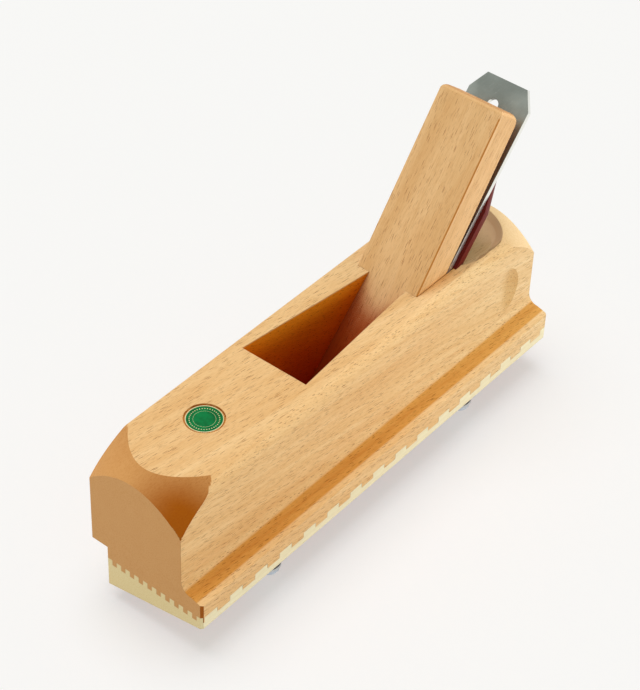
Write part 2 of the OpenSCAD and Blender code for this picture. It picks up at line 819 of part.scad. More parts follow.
body();
sole();
wedge();
iron();
badge_disc();
badge_rim();
fence();
fence_arms();
fence_arm_screws();
fence_screw_toe();
fence_screw_heel();
fence_washers();
fence_inserts();
nicker();
nicker_screw();
nicker_washer();
nicker_insert();
depth_stop();
depth_stop_screw();
depth_stop_washer();
depth_stop_insert();
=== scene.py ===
# %% [markdown]
# # A wooden dovetail plane
# A dovetail plane cuts the sloping tongue of a sliding dovetail. Its body is beech, its sole is pale hornbeam
# that slopes by the dovetail's angle, and a long beech wedge holds the iron. The solids come from a packed
# model, which is the fixed frame here. This script gives them soft edges, real finishes, light and a camera.

# %% Load the frame
import math

import bmesh
import bpy
from mathutils import Matrix, Vector


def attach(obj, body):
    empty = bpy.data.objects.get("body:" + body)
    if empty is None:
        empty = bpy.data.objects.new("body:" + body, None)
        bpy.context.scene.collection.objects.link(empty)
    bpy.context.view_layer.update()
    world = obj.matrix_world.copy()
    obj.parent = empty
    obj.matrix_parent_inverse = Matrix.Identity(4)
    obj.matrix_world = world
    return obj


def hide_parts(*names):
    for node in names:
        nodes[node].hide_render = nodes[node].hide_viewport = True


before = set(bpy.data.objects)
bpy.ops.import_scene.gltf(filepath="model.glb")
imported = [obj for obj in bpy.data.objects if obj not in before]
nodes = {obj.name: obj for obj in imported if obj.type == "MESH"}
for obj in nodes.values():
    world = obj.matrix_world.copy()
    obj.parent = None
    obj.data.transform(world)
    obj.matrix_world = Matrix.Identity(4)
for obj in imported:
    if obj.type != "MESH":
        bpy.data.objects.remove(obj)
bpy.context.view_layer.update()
MM = 0.001

# %% [markdown]
# ## Slopes of the plane
# The iron lies on a sloping bed, and the wedge's front leans a little less far back. The sizes here repeat
# what the part's own source says, because this script can't read that source. BED_TOP is the bed's middle at
# its upper end, and WEDGE_ROOT is where the wedge's front leaves the throat. Places are in millimetres, as
# every pattern further down is.

# %% Slopes and places that the finishes use
BED_SLOPE = math.radians(48.0)
WEDGE_SLOPE = math.radians(52.3)
ALONG_WEDGE = Vector((0.0, math.cos(WEDGE_SLOPE), math.sin(WEDGE_SLOPE)))
BED_TOP = Vector((-4.66, 74.67, 87.5))
WEDGE_ROOT = Vector((-4.66, 45.07, 87.5))
WEDGE_HALF = 18.3
print("the wedge's length runs along", [round(value, 3) for value in ALONG_WEDGE])

# %% [markdown]
# ## Camera
# The camera was found by fitting corners of the plane to the photograph: it looks down at about 41 degrees
# from the toe's left, from a little over a metre. A long lens keeps the body's edges nearly parallel. The
# camera could be aimed with a Track To constraint, but the photograph is also rolled a little, so the
# camera's three axes are worked out from the angles and written straight into its matrix.

# %% Set the camera
PHOTO_W = 640
VIEW_AZIMUTH = math.radians(37.83)
VIEW_HEIGHT = math.radians(41.44)
VIEW_ROLL = math.radians(2.38)
FOCAL_PIXELS = 2245.9
VIEW_DISTANCE = 1.0766
VIEW_TARGET = Vector((-0.00560, -0.00518, 0.07856))
SENSOR_W = 36.0
FARTHEST = 20.0


def camera_axes(azimuth, height, roll):
    """Gives the right, up and backward directions of a camera that looks at the plane."""
    backward = Vector((
        math.sin(azimuth) * math.cos(height),
        -math.cos(azimuth) * math.cos(height),
        math.sin(height),
    ))
    level_right = Vector((math.cos(azimuth), math.sin(azimuth), 0.0))
    level_up = backward.cross(level_right)
    right = level_right * math.cos(roll) + level_up * math.sin(roll)
    up = level_up * math.cos(roll) - level_right * math.sin(roll)
    return right, up, backward


def aim_camera():
    """Makes the camera and puts it where the photograph was taken from."""
    data = bpy.data.cameras.new("bench_camera")
    data.sensor_fit = "HORIZONTAL"
    data.sensor_width = SENSOR_W
    data.lens = SENSOR_W * FOCAL_PIXELS / PHOTO_W
    data.clip_end = FARTHEST
    camera = bpy.data.objects.new("bench_camera", data)
    bpy.context.scene.collection.objects.link(camera)
    right, up, backward = camera_axes(VIEW_AZIMUTH, VIEW_HEIGHT, VIEW_ROLL)
    turn = Matrix((right, up, backward)).transposed().to_4x4()
    place = VIEW_TARGET + backward * VIEW_DISTANCE
    camera.matrix_world = Matrix.Translation(place) @ turn
    bpy.context.scene.camera = camera
    return camera


camera = aim_camera()
print("camera at", [round(value, 3) for value in camera.matrix_world.translation])
print("lens in mm:", round(camera.data.lens, 1))

# %% [markdown]
# ## Wiring nodes
# Every finish is a small network of nodes. Typing each node and each link in full makes long cells, so these
# helpers add a node, set what is asked and join the sockets. A plain number or colour is written on the
# socket itself, and a socket is linked.

# %% Helpers that add a node and feed it
def feed(tree, socket, value):
    """Links a socket to another one, or writes a plain value on it."""
    if isinstance(value, bpy.types.NodeSocket):
        tree.links.new(value, socket)
    elif value is not None:
        socket.default_value = value


def add_node(tree, kind, inputs=None, **settings):
    """Adds one node, sets its properties and feeds its inputs by name or by number."""
    node = tree.nodes.new(kind)
    for name, value in settings.items():
        setattr(node, name, value)
    for key, value in (inputs or {}).items():
        feed(tree, node.inputs[key], value)
    return node


def calc(tree, operation, first, second=None, third=None, clamp=False):
    """One step of arithmetic on values."""
    node = add_node(tree, "ShaderNodeMath", operation=operation, use_clamp=clamp)
    for socket, value in zip(node.inputs, (first, second, third)):
        feed(tree, socket, value)
    return node.outputs[0]


def calc_vector(tree, operation, first, second=None):
    """One step of arithmetic on vectors. Length and dot product come out as a value."""
    node = add_node(tree, "ShaderNodeVectorMath", {0: first, 1: second}, operation=operation)
    return node.outputs["Value"] if operation in ("LENGTH", "DOT_PRODUCT") else node.outputs["Vector"]


print("helpers that add nodes are ready")

# %% [markdown]
# A mask is a value from 0 to 1 that says where something happens. Masks are multiplied where all of them must
# hold, and a soft step makes a mask from any measure. A hard step would leave a jagged border, and oiled wood
# has no sharp ones.

# %% Helpers for masks
def product(tree, *factors):
    """Multiplies values. Of masks it is 1 only where all of them are."""
    result = factors[0]
    for factor in factors[1:]:
        result = calc(tree, "MULTIPLY", result, factor)
    return result


def reverse(tree, value):
    """1 where the value is 0, and 0 where it is 1."""
    return calc(tree, "SUBTRACT", 1.0, value)


def diagonal(tree, first, second):
    """The distance made by two distances at right angles."""
    squares = calc(tree, "ADD", product(tree, first, first), product(tree, second, second))
    return calc(tree, "SQRT", squares)


def step_between(tree, value, low, high, out_low=0.0, out_high=1.0):
    """A soft step: out_low up to low, out_high from high on."""
    return add_node(tree, "ShaderNodeMapRange", {
        "Value": value, "From Min": low, "From Max": high, "To Min": out_low, "To Max": out_high,
    }, interpolation_type="SMOOTHSTEP").outputs["Result"]


def fade_between(tree, value, low, high):
    """A soft step down: 1 up to low, 0 from high on."""
    return step_between(tree, value, low, high, 1.0, 0.0)


print("helpers for masks are ready")

# %% [markdown]
# Colours are written here as they are read from a screen, in sRGB from 0 to 255, and turned to the linear
# light that Blender reckons in. A stain or oil only takes light away, so it multiplies the wood's colour by a
# tint and lets the grain show through. Paint and metal are mixed in as colours instead.

# %% Helpers for colours
def colour(red, green, blue):
    """An sRGB colour of 0 to 255, as the linear colour that a socket wants."""
    def linear(value):
        value = value / 255.0
        return value / 12.92 if value <= 0.04045 else ((value + 0.055) / 1.055) ** 2.4
    return (linear(red), linear(green), linear(blue), 1.0)


def mix_colours(tree, factor, first, second, blend="MIX"):
    """The first colour where the factor is 0, and the second where it is 1."""
    inputs = {0: factor, 6: first, 7: second}
    return add_node(tree, "ShaderNodeMix", inputs, data_type="RGBA", blend_type=blend).outputs[2]


def tinted(tree, base, factor, tint):
    """Multiplies the base by a tint of red, green and blue, as far as the factor says."""
    shade = mix_colours(tree, factor, (1.0, 1.0, 1.0, 1.0), (*tint, 1.0))
    return mix_colours(tree, 1.0, base, shade, "MULTIPLY")


print("middle grey is", round(colour(128, 128, 128)[0], 3), "in linear light")

# %% [markdown]
# ## Places and directions on a piece
# A pattern that follows the view or the world would slide when a piece moves. Object coordinates and the
# object's own normal stay with the piece, so every mask and pattern here starts from those two. A Mapping
# node scales the place to millimetres, or turns it.

# %% Helpers for places and directions
def parts_of(tree, vector):
    """The three numbers of a vector."""
    return add_node(tree, "ShaderNodeSeparateXYZ", {0: vector}).outputs


def place_in_mm(tree):
    """The place in the piece, in millimetres."""
    place = add_node(tree, "ShaderNodeTexCoord").outputs["Object"]
    return add_node(tree, "ShaderNodeMapping", {"Vector": place, "Scale": (1 / MM,) * 3}).outputs[0]


def own_normal(tree):
    """The direction in which a face looks, as the piece itself has it."""
    return add_node(tree, "ShaderNodeTexCoord").outputs["Normal"]


def facing(tree):
    """How far a face looks to the right, to the heel and up."""
    return parts_of(tree, own_normal(tree))


def turned(tree, place, rotation):
    """The place after a turn about X, Y and Z."""
    return add_node(tree, "ShaderNodeMapping", {"Vector": place, "Rotation": rotation}).outputs[0]


def leaning_place(tree, in_mm, root, slope):
    """The place as seen from root in a frame that leans by slope: across, along the slope and out of it."""
    from_root = calc_vector(tree, "SUBTRACT", in_mm, tuple(root))
    return parts_of(tree, turned(tree, from_root, (-slope, 0.0, 0.0)))


def mix_places(tree, factor, first, second):
    """The first place where the factor is 0, and the second where it is 1."""
    return add_node(tree, "ShaderNodeMix", {0: factor, 4: first, 5: second}, data_type="VECTOR").outputs[1]


print("a metre is", round(1 / MM), "steps of a pattern")

# %% [markdown]
# ## Node groups
# What several finishes share, such as grain or rubbed edges, is built once as a group with named inputs and
# outputs. Each material then places the group and gives it its own values.

# %% Helpers for node groups
def new_group(name, inputs, outputs):
    """Starts a shader node group with named sockets, and gives its tree, its inputs and its outputs."""
    tree = bpy.data.node_groups.new(name, "ShaderNodeTree")
    for label, kind, start in inputs:
        socket = tree.interface.new_socket(name=label, in_out="INPUT", socket_type=kind)
        if start is not None:
            socket.default_value = start
    for label, kind in outputs:
        tree.interface.new_socket(name=label, in_out="OUTPUT", socket_type=kind)
    return tree, tree.nodes.new("NodeGroupInput").outputs, tree.nodes.new("NodeGroupOutput").inputs


def place_group(tree, group, inputs):
    """Puts a group in a material, feeds its named inputs and gives its outputs."""
    node = tree.nodes.new("ShaderNodeGroup")
    node.node_tree = group
    for name, value in inputs.items():
        feed(tree, node.inputs[name], value)
    return node.outputs


def sockets_of(group):
    """The names of a group's sockets, to be printed."""
    return [item.name for item in group.interface.items_tree]


print("helpers for groups ready")

# %% [markdown]
# ## Wood as a solid pattern
# Wood is not a skin: the rings, fibres and flecks run through the block and every cut shows them in its own
# way. A flat picture would have to be stretched over each face, so the pattern is instead a function of the
# place inside the piece, in millimetres, with the grain along Y. Growth rings are distances from the pith,
# bent by a slow noise, and the dark late wood ends each ring. The other parts are noises drawn out along the
# grain: fine fibres, a slow tone and broad patches.

# %% Growth rings and drawn-out noise
WOOD_SOCKETS = (
    ("Place", "NodeSocketVector", None),
    ("Ring Width", "NodeSocketFloat", 3.6),
    ("Fleck Length", "NodeSocketFloat", 2.3),
    ("Fleck Width", "NodeSocketFloat", 0.13),
    ("Cell Length", "NodeSocketFloat", 4.6),
    ("Cell Width", "NodeSocketFloat", 0.62),
)
WOOD_PARTS = ("Rings", "Flecks", "Fibres", "Tone", "Patches")
BEND_NOISE = {"scale": (1 / 38, 1 / 190, 1 / 38), "detail": 2.0}
BEND_DEPTH = 14.0
FIBRE_NOISE = {"scale": (1.7, 0.11, 1.7), "detail": 4.0, "roughness": 0.65}
TONE_NOISE = {"scale": (1 / 9, 1 / 150, 1 / 9), "detail": 3.0}
PATCH_NOISE = {"scale": (1 / 45, 1 / 70, 1 / 45), "detail": 2.0}
LATE_FROM = 0.3
LATE_TO = 0.9


def stretched_noise(tree, place, scale, detail, roughness=0.5):
    """A noise that is drawn out along the grain, by a scale for each direction."""
    drawn = calc_vector(tree, "MULTIPLY", place, scale)
    inputs = {"Vector": drawn, "Detail": detail, "Roughness": roughness, "Scale": 1.0}
    return add_node(tree, "ShaderNodeTexNoise", inputs).outputs[0]


def growth_rings(tree, given):
    """0 in the early wood of each ring, rising to 1 in its late wood."""
    bend = stretched_noise(tree, given["Place"], **BEND_NOISE)
    across = calc_vector(tree, "MULTIPLY", given["Place"], (1.0, 0.0, 1.0))
    from_pith = calc(tree, "MULTIPLY_ADD", bend, BEND_DEPTH, calc_vector(tree, "LENGTH", across))
    turn = calc(tree, "FRACT", calc(tree, "DIVIDE", from_pith, given["Ring Width"]))
    rising = step_between(tree, turn, LATE_FROM, LATE_TO)
    return product(tree, rising, fade_between(tree, turn, LATE_TO, 1.0))


print("a ring is", WOOD_SOCKETS[1][2], "mm wide")

# %% [markdown]
# Beech is known by its short brown flecks, the cut ends of its rays. Drawn noise only gives streaks without
# ends. A Voronoi texture knows the middle of the random cell that a point is in, so each cell can hold one
# thin spindle, and the colour of the cell says how faint it is. Large and small spindles are laid together.

# %% Flecks
SMALL_FLECKS = 0.55
FLECK_CORE = 0.6
FAINTEST_FLECK = 0.3


def long_size(tree, width, length):
    """A size that is the length along the grain and the width across it."""
    return add_node(tree, "ShaderNodeCombineXYZ", {0: width, 1: length, 2: width}).outputs[0]


def spindles(tree, given, size):
    """Thin spindles along the grain, one in each random cell, of which some are faint."""
    cell_size = long_size(tree, given["Cell Width"], given["Cell Length"])
    fleck_size = long_size(tree, given["Fleck Width"], given["Fleck Length"])
    scaled = calc_vector(tree, "SCALE", given["Place"])
    scaled.node.inputs["Scale"].default_value = 1.0 / size
    in_cells = calc_vector(tree, "DIVIDE", scaled, cell_size)
    inputs = {"Vector": in_cells, "Scale": 1.0, "Randomness": 1.0}
    cells = add_node(tree, "ShaderNodeTexVoronoi", inputs, feature="F1").outputs
    to_middle = calc_vector(tree, "SUBTRACT", in_cells, cells["Position"])
    in_flecks = calc_vector(tree, "DIVIDE", calc_vector(tree, "MULTIPLY", to_middle, cell_size), fleck_size)
    spindle = fade_between(tree, calc_vector(tree, "LENGTH", in_flecks), FLECK_CORE, 1.0)
    chance = add_node(tree, "ShaderNodeSeparateColor", {0: cells["Color"]}).outputs[0]
    return product(tree, spindle, step_between(tree, chance, 0.0, 1.0, FAINTEST_FLECK, 1.0))


def two_sizes_of_flecks(tree, given):
    """Large flecks, with smaller and fainter ones between them."""
    large = spindles(tree, given, 1.0)
    small = spindles(tree, given, SMALL_FLECKS)
    return calc(tree, "MAXIMUM", large, product(tree, small, SMALL_FLECKS))


print("the small flecks are", SMALL_FLECKS, "of the large ones")

# %% [markdown]
# The parts come together in one group, which every wood places with its own pith. It puts out masks only, so
# each wood chooses what colour its late wood, flecks and fibres have.

# %% Group: the solid pattern of wood
def build_wood_pattern():
    """Rings, Flecks, Fibres, Tone and Patches, each from 0 to 1, from a place in millimetres."""
    outputs = [(name, "NodeSocketFloat") for name in WOOD_PARTS]
    tree, given, made = new_group("wood pattern", WOOD_SOCKETS, outputs)
    place = given["Place"]
    feed(tree, made["Rings"], growth_rings(tree, given))
    feed(tree, made["Flecks"], two_sizes_of_flecks(tree, given))
    feed(tree, made["Fibres"], stretched_noise(tree, place, **FIBRE_NOISE))
    feed(tree, made["Tone"], stretched_noise(tree, place, **TONE_NOISE))
    feed(tree, made["Patches"], stretched_noise(tree, place, **PATCH_NOISE))
    return tree


wood_pattern = build_wood_pattern()
print("wood pattern has", len(wood_pattern.nodes), "nodes")

# %% [markdown]
# Where a saw or a gouge cuts across the fibres the wood drinks more oil and looks darker and warmer. How much
# a face cuts across them is the angle between its normal and the grain, so one group works that out from the
# object's own normal. It is 0 on a long face and 1 on end grain.

# %% Group: how far a face cuts across the grain
def build_end_grain():
    """Cut is 0 on long grain and 1 on end grain."""
    inputs = (("Grain", "NodeSocketVector", (0.0, 1.0, 0.0)),)
    tree, given, made = new_group("end grain", inputs, (("Cut", "NodeSocketFloat"),))
    along = calc_vector(tree, "DOT_PRODUCT", own_normal(tree), given["Grain"])
    feed(tree, made["Cut"], calc(tree, "ABSOLUTE", along))
    return tree


end_grain = build_end_grain()
print("end grain group:", sockets_of(end_grain))

# %% [markdown]
# No edge of a real thing is perfectly sharp, and handling rubs edges a little paler or darker. The Bevel node
# gives the normal that a small rounding would have, so comparing it with the true normal finds the edges.

# %% Group: rubbed edges
EDGE_SAMPLES = 6
EDGE_LIKENESS = (0.99, 0.86)


def build_rubbed_edges():
    """Normal is rounded over the edges by Radius. Edge is 1 on them and 0 elsewhere."""
    inputs = (("Radius", "NodeSocketFloat", 0.5 * MM),)
    outputs = (("Normal", "NodeSocketVector"), ("Edge", "NodeSocketFloat"))
    tree, given, made = new_group("rubbed edges", inputs, outputs)
    radius = {"Radius": given["Radius"]}
    rounded = add_node(tree, "ShaderNodeBevel", radius, samples=EDGE_SAMPLES).outputs[0]
    flat = add_node(tree, "ShaderNodeNewGeometry").outputs["Normal"]
    likeness = calc_vector(tree, "DOT_PRODUCT", rounded, flat)
    feed(tree, made["Normal"], rounded)
    feed(tree, made["Edge"], step_between(tree, likeness, *EDGE_LIKENESS))
    return tree


rubbed_edges = build_rubbed_edges()
print("rubbed edges group:", sockets_of(rubbed_edges))

# %% [markdown]
# Deep inside the throat the light has bounced from wood to wood many times, and each bounce makes it redder.
# A few bounces in a render don't reach that glow, so shut-in places get painted shade and a painted red glow
# instead. The Ambient Occlusion node tells how shut in a place is, so its value can drive both.

# %% Group: painted shade in shut-in places
SHUT_IN_REACH = 42.0
SHUT_IN_SAMPLES = 12
WALLS_NEAR = (0.62, 0.34)
FAR_INSIDE = (0.36, 0.1)


def build_painted_hollow_shade():
    """Edge is 1 where walls stand close by, and Deep is 1 far inside a cut."""
    inputs = (("Reach", "NodeSocketFloat", SHUT_IN_REACH * MM),)
    outputs = (("Edge", "NodeSocketFloat"), ("Deep", "NodeSocketFloat"))
    tree, given, made = new_group("painted_hollow_shade", inputs, outputs)
    reach = {"Distance": given["Reach"]}
    open_sky = add_node(tree, "ShaderNodeAmbientOcclusion", reach, samples=SHUT_IN_SAMPLES).outputs["AO"]
    feed(tree, made["Edge"], step_between(tree, open_sky, *WALLS_NEAR))
    feed(tree, made["Deep"], step_between(tree, open_sky, *FAR_INSIDE))
    return tree


painted_hollow_shade = build_painted_hollow_shade()
print("hollows group:", sockets_of(painted_hollow_shade))

# %% [markdown]
# ## Beech and hornbeam
# All wooden pieces share one recipe with their own values: two body colours that the slow tone mixes, darker
# late wood in the rings, brown flecks, and the warm deepening of cut ends. Four separate materials would
# repeat the same network, so a function builds it from a small table of colours and tints. Rings, flecks,
# tone and patches belong to long grain, and fade out where a face cuts across it.

# %% Recipe for the colour of a wooden face
LONG_CUT = (0.2, 0.5)
SLANTING_CUT = (0.06, 0.34)
SQUARE_CUT = (0.6, 0.95)
TONE_SWING = (0.34, 0.66)
TONE_ON_ENDS = 0.2
PATCH_SWING = (0.35, 0.7)
FIBRE_SWING = (0.42, 0.72)
WOOD_LOOK = {
    "patch": (0.98, 0.96, 0.93),
    "fibre": (0.91, 0.84, 0.76),
    "ring": (0.97, 0.94, 0.90),
    "flecks": 0.95,
    "slant": (0.84, 0.62, 0.36),
    "end": (0.72, 0.58, 0.46),
    # Painted shade: hollow and deep darken and redden shut-in places in place of bounced light
    "hollow": (0.94, 0.60, 0.16),
    "deep": (0.66, 0.10, 0.10),
    "gloss": 0.25,
    "end_tints_fade_to_heel": False,
}


def wood_colour(tree, pattern, cut, look, cut_share):
    """The colour of a bare wooden face, from the solid pattern and from how it is cut."""
    long_grain = fade_between(tree, cut, *LONG_CUT)
    tone_share = calc(tree, "MULTIPLY_ADD", long_grain, 1.0 - TONE_ON_ENDS, TONE_ON_ENDS)
    tone = product(tree, step_between(tree, pattern["Tone"], *TONE_SWING), tone_share)
    patches = product(tree, step_between(tree, pattern["Patches"], *PATCH_SWING), long_grain)
    base = mix_colours(tree, tone, look["pale"], look["dark"])
    base = tinted(tree, base, patches, look["patch"])
    base = tinted(tree, base, step_between(tree, pattern["Fibres"], *FIBRE_SWING), look["fibre"])
    base = tinted(tree, base, product(tree, pattern["Rings"], long_grain), look["ring"])
    flecks = product(tree, pattern["Flecks"], long_grain, look["flecks"])
    base = mix_colours(tree, flecks, base, look["fleck"])
    square = step_between(tree, cut, *SQUARE_CUT)
    slanting = product(tree, step_between(tree, cut, *SLANTING_CUT), reverse(tree, square))
    base = tinted(tree, base, product(tree, slanting, cut_share), look["slant"])
    return tinted(tree, base, product(tree, square, cut_share), look["end"])


print("a wood's look has", len(WOOD_LOOK) + 3, "values")

# %% [markdown]
# The grain of the body runs from toe to heel and the wedge's runs up its slope, so the place is first turned
# to the grain. The body was sawn a little askew: its flecks slope one way on the sides and another way on
# top, so the top has a turn of its own. Towards the heel the darker tints of its cut ends fade. The roughness
# and the bump follow the fibres, and the flecks lie a hair deeper than the wood around them.

# %% Recipe for a wooden finish
TOP_FACE = 0.7
HEEL_END_FADE = (0.0, 90.0, 1.0, 0.1)
WOOD_EDGE = 0.5
EDGE_PALENESS = 0.18
WOOD_ROUGHNESS = 0.43
WOOD_ROUGHNESS_SWING = 0.14
FLECK_DEPTH = -0.8
WOOD_BUMP = {"strength": 0.3, "depth": 0.05}


def start_material(name):
    """A new node material, with its tree and its Principled shader."""
    material = bpy.data.materials.new(name)
    material.use_nodes = True
    return material, material.node_tree, material.node_tree.nodes["Principled BSDF"]


def add_bump(tree, shader, height, strength, depth, normal=None):
    """Tilts the shader's normal as a relief of this depth in millimetres would."""
    inputs = {"Height": height, "Normal": normal, "Strength": strength, "Distance": depth * MM}
    feed(tree, shader.inputs["Normal"], add_node(tree, "ShaderNodeBump", inputs).outputs[0])


def turn_to_grain(tree, in_mm, slope, skew):
    """The place turned so that the grain lies along Y, with a turn of its own for level faces."""
    grained = turned(tree, in_mm, (-slope, 0.0, 0.0))
    if not skew:
        return grained
    level = calc(tree, "GREATER_THAN", calc(tree, "ABSOLUTE", facing(tree)[2]), TOP_FACE)
    return mix_places(tree, level, grained, turned(tree, in_mm, (0.0, 0.0, skew)))


def wood_finish(name, look, grain=(0.0, 1.0, 0.0), slope=0.0, skew=0.0, pith=(-62.0, 0.0, -96.0), retouch=(),
                hollow_where=None):
    """A wood with its grain along the direction given. Each retouch changes the colour by place."""
    material, tree, shader = start_material(name)
    look = {**WOOD_LOOK, **look}
    in_mm = place_in_mm(tree)
    from_pith = calc_vector(tree, "SUBTRACT", turn_to_grain(tree, in_mm, slope, skew), pith)
    pattern = place_group(tree, wood_pattern, {"Place": from_pith})
    cut = place_group(tree, end_grain, {"Grain": grain})["Cut"]
    edges = place_group(tree, rubbed_edges, {"Radius": WOOD_EDGE * MM})
    shut_in = place_group(tree, painted_hollow_shade, {})

    cut_share = step_between(tree, parts_of(tree, in_mm)[1], *HEEL_END_FADE) if look["end_tints_fade_to_heel"] else 1.0
    base = wood_colour(tree, pattern, cut, look, cut_share)
    base = mix_colours(tree, product(tree, edges["Edge"], EDGE_PALENESS), base, look["pale"])
    # Painted shade: places are darkened and reddened by how shut in they are
    inside = hollow_where(tree, in_mm) if hollow_where else 1.0
    base = tinted(tree, base, product(tree, shut_in["Edge"], inside), look["hollow"])
    base = tinted(tree, base, product(tree, shut_in["Deep"], inside), look["deep"])
    for change in retouch:
        base = change(tree, base, in_mm, cut)
    feed(tree, shader.inputs["Base Color"], base)

    roughness = calc(tree, "MULTIPLY_ADD", pattern["Fibres"], WOOD_ROUGHNESS_SWING, WOOD_ROUGHNESS)
    feed(tree, shader.inputs["Roughness"], roughness)
    shader.inputs["Specular IOR Level"].default_value = look["gloss"]
    height = calc(tree, "MULTIPLY_ADD", pattern["Flecks"], FLECK_DEPTH, pattern["Fibres"])
    add_bump(tree, shader, height, normal=edges["Normal"], **WOOD_BUMP)
    return material


print("wood recipe ready")

# %% [markdown]
# ## Places on the body that look different
# The body is one solid, so its special places can't have materials of their own without visible borders. Each
# is a mask by place and by facing instead, with a soft limit where the real one is soft. The throat's steep
# walls get painted shade, a deep orange in place of the dark, reddened light that bounces between them. The
# mask for them leans with the bed and ends at it, because the palm hollow behind the bed lies open and gets
# painted light that makes it pale.

# %% Masks for painted shade in the throat and painted light in the palm hollow
BED_LIMIT = (-0.6, 0.4)
THROAT_RIM = 87.4
THROAT_DARK = 86.4
THROAT_REACH = 60.0
THROAT_MARGIN = 4.0
STEEP = (0.5, 0.9)
THROAT_SHADE_TINT = (1.0, 0.55, 0.06)
PALM_FROM = 88.0
PALM_BORDER = 2.0
TOEWARDS = (-0.05, -0.2)
GROOVE_END_SHADE_TINT = (0.88, 0.80, 0.66)
PALM_PAINTED_LIGHT = colour(254, 214, 172)
PALM_SHARE = 0.85


def in_throat(tree, in_mm):
    """1 in front of the bed, where the throat is, and 0 behind it, where the palm hollow lies open."""
    out = leaning_place(tree, in_mm, BED_TOP, BED_SLOPE)[2]
    return step_between(tree, out, *BED_LIMIT)


def paint_throat_shade(tree, base, in_mm, cut):
    """Paints shade on the throat's steep walls, a deep orange."""
    across, along, height = parts_of(tree, in_mm)
    from_middle = calc(tree, "ABSOLUTE", calc(tree, "SUBTRACT", across, BED_TOP.x))
    between = calc(tree, "LESS_THAN", from_middle, WEDGE_HALF + THROAT_MARGIN)
    near = calc(tree, "GREATER_THAN", along, -THROAT_REACH)
    sunk = fade_between(tree, height, THROAT_DARK, THROAT_RIM)
    steep = fade_between(tree, facing(tree)[2], *STEEP)
    walls = product(tree, in_throat(tree, in_mm), sunk, product(tree, between, near), steep)
    return tinted(tree, base, walls, THROAT_SHADE_TINT)


def paint_palm_light_and_groove_shade(tree, base, in_mm, cut):
    """Paints light that pales the palm hollow, and paints shade that deepens the end of the finger groove
    beside it.
    """
    across, along, height = parts_of(tree, in_mm)
    behind = step_between(tree, along, PALM_FROM, PALM_FROM + PALM_BORDER)
    palm = product(tree, behind, step_between(tree, facing(tree)[1], *TOEWARDS))
    at_side = calc(tree, "GREATER_THAN", across, WEDGE_HALF)
    base = tinted(tree, base, product(tree, palm, at_side), GROOVE_END_SHADE_TINT)
    below_rim = calc(tree, "LESS_THAN", height, THROAT_RIM)
    hollow = product(tree, palm, below_rim, reverse(tree, at_side))
    return mix_colours(tree, product(tree, hollow, PALM_SHARE), base, PALM_PAINTED_LIGHT)


print("the throat's tint ends", THROAT_RIM, "mm up")

# %% [markdown]
# The flange's level top and the rounding at the toe's right corner get painted shade, which makes them darker
# than the wood around them, and painted light makes the whole body paler towards the heel. The tint for the
# corner also reads how the face is cut, so that it keeps off the flat end.

# %% Painted shade on the flange and the toe's corner, painted light towards the heel
STRIP_FROM = 25.4
STRIP_TO = 32.8
STRIP_BORDER = 1.2
FLANGE_HIGH = 44.0
LEVEL = (0.45, 0.8)
FLANGE_SHADE_TINT = (0.82, 0.58, 0.26)
CORNER_SIDE = (-12.0, 18.0)
CORNER_CUT = (0.25, 0.5)
FLAT_END = (0.93, 0.98)
CORNER_SHADE_TINT = (0.58, 0.29, 0.02)
TO_HEEL = (0.0, 130.0)
HEEL_LIGHT_TINT = (1.0, 1.10, 1.22)


def paint_flange_shade(tree, base, in_mm, cut):
    """Paints shade on the flange's level top."""
    across, _, height = parts_of(tree, in_mm)
    inner = step_between(tree, across, STRIP_FROM, STRIP_FROM + STRIP_BORDER)
    outer = fade_between(tree, across, STRIP_TO, STRIP_TO + STRIP_BORDER)
    level = step_between(tree, facing(tree)[2], *LEVEL)
    low = calc(tree, "LESS_THAN", height, FLANGE_HIGH)
    return tinted(tree, base, product(tree, inner, outer, level, low), FLANGE_SHADE_TINT)


def paint_toe_corner_shade(tree, base, in_mm, cut):
    """Paints shade on the rounding at the toe's right corner and leaves the flat end alone."""
    across, along, _ = parts_of(tree, in_mm)
    to_right = step_between(tree, across, *CORNER_SIDE)
    rounding = product(tree, step_between(tree, cut, *CORNER_CUT), fade_between(tree, cut, *FLAT_END))
    at_toe = calc(tree, "LESS_THAN", along, 0.0)
    return tinted(tree, base, product(tree, to_right, rounding, at_toe), CORNER_SHADE_TINT)


def paint_light_towards_heel(tree, base, in_mm, cut):
    """Paints light that lifts green and blue little by little from the middle to the heel."""
    return tinted(tree, base, step_between(tree, parts_of(tree, in_mm)[1], *TO_HEEL), HEEL_LIGHT_TINT)


print("the flange's strip is", round(STRIP_TO - STRIP_FROM, 1), "mm wide")

# %% [markdown]
# The hand guard behind the iron is coloured a dark maroon. It is one with the body here, so a mask finds it
# by
# place: everything within its rounded sides, behind the bed and above its foot.

# %% Dark maroon for the hand guard
GUARD_RADIUS = 19.9
GUARD_THICK = 11.5
GUARD_FOOT = -9.0
GUARD_SKIN = 0.1
GUARD_MAROON = colour(92, 0, 8)
WOOD_THROUGH_MAROON = 0.02


def darken_guard(tree, base, in_mm, cut):
    """Colours the hand guard a dark maroon, through which the wood hardly shows."""
    across, along, out = leaning_place(tree, in_mm, BED_TOP, BED_SLOPE)
    within = calc(tree, "LESS_THAN", diagonal(tree, across, out), GUARD_RADIUS + GUARD_SKIN)
    behind_bed = calc(tree, "LESS_THAN", out, GUARD_SKIN)
    before_back = calc(tree, "GREATER_THAN", out, -GUARD_THICK - GUARD_SKIN)
    above_foot = calc(tree, "GREATER_THAN", along, GUARD_FOOT)
    guard = product(tree, within, behind_bed, before_back, above_foot)
    return mix_colours(tree, guard, base, mix_colours(tree, WOOD_THROUGH_MAROON, GUARD_MAROON, base))


print("guard is stained within", GUARD_RADIUS, "mm of the bed's middle line")
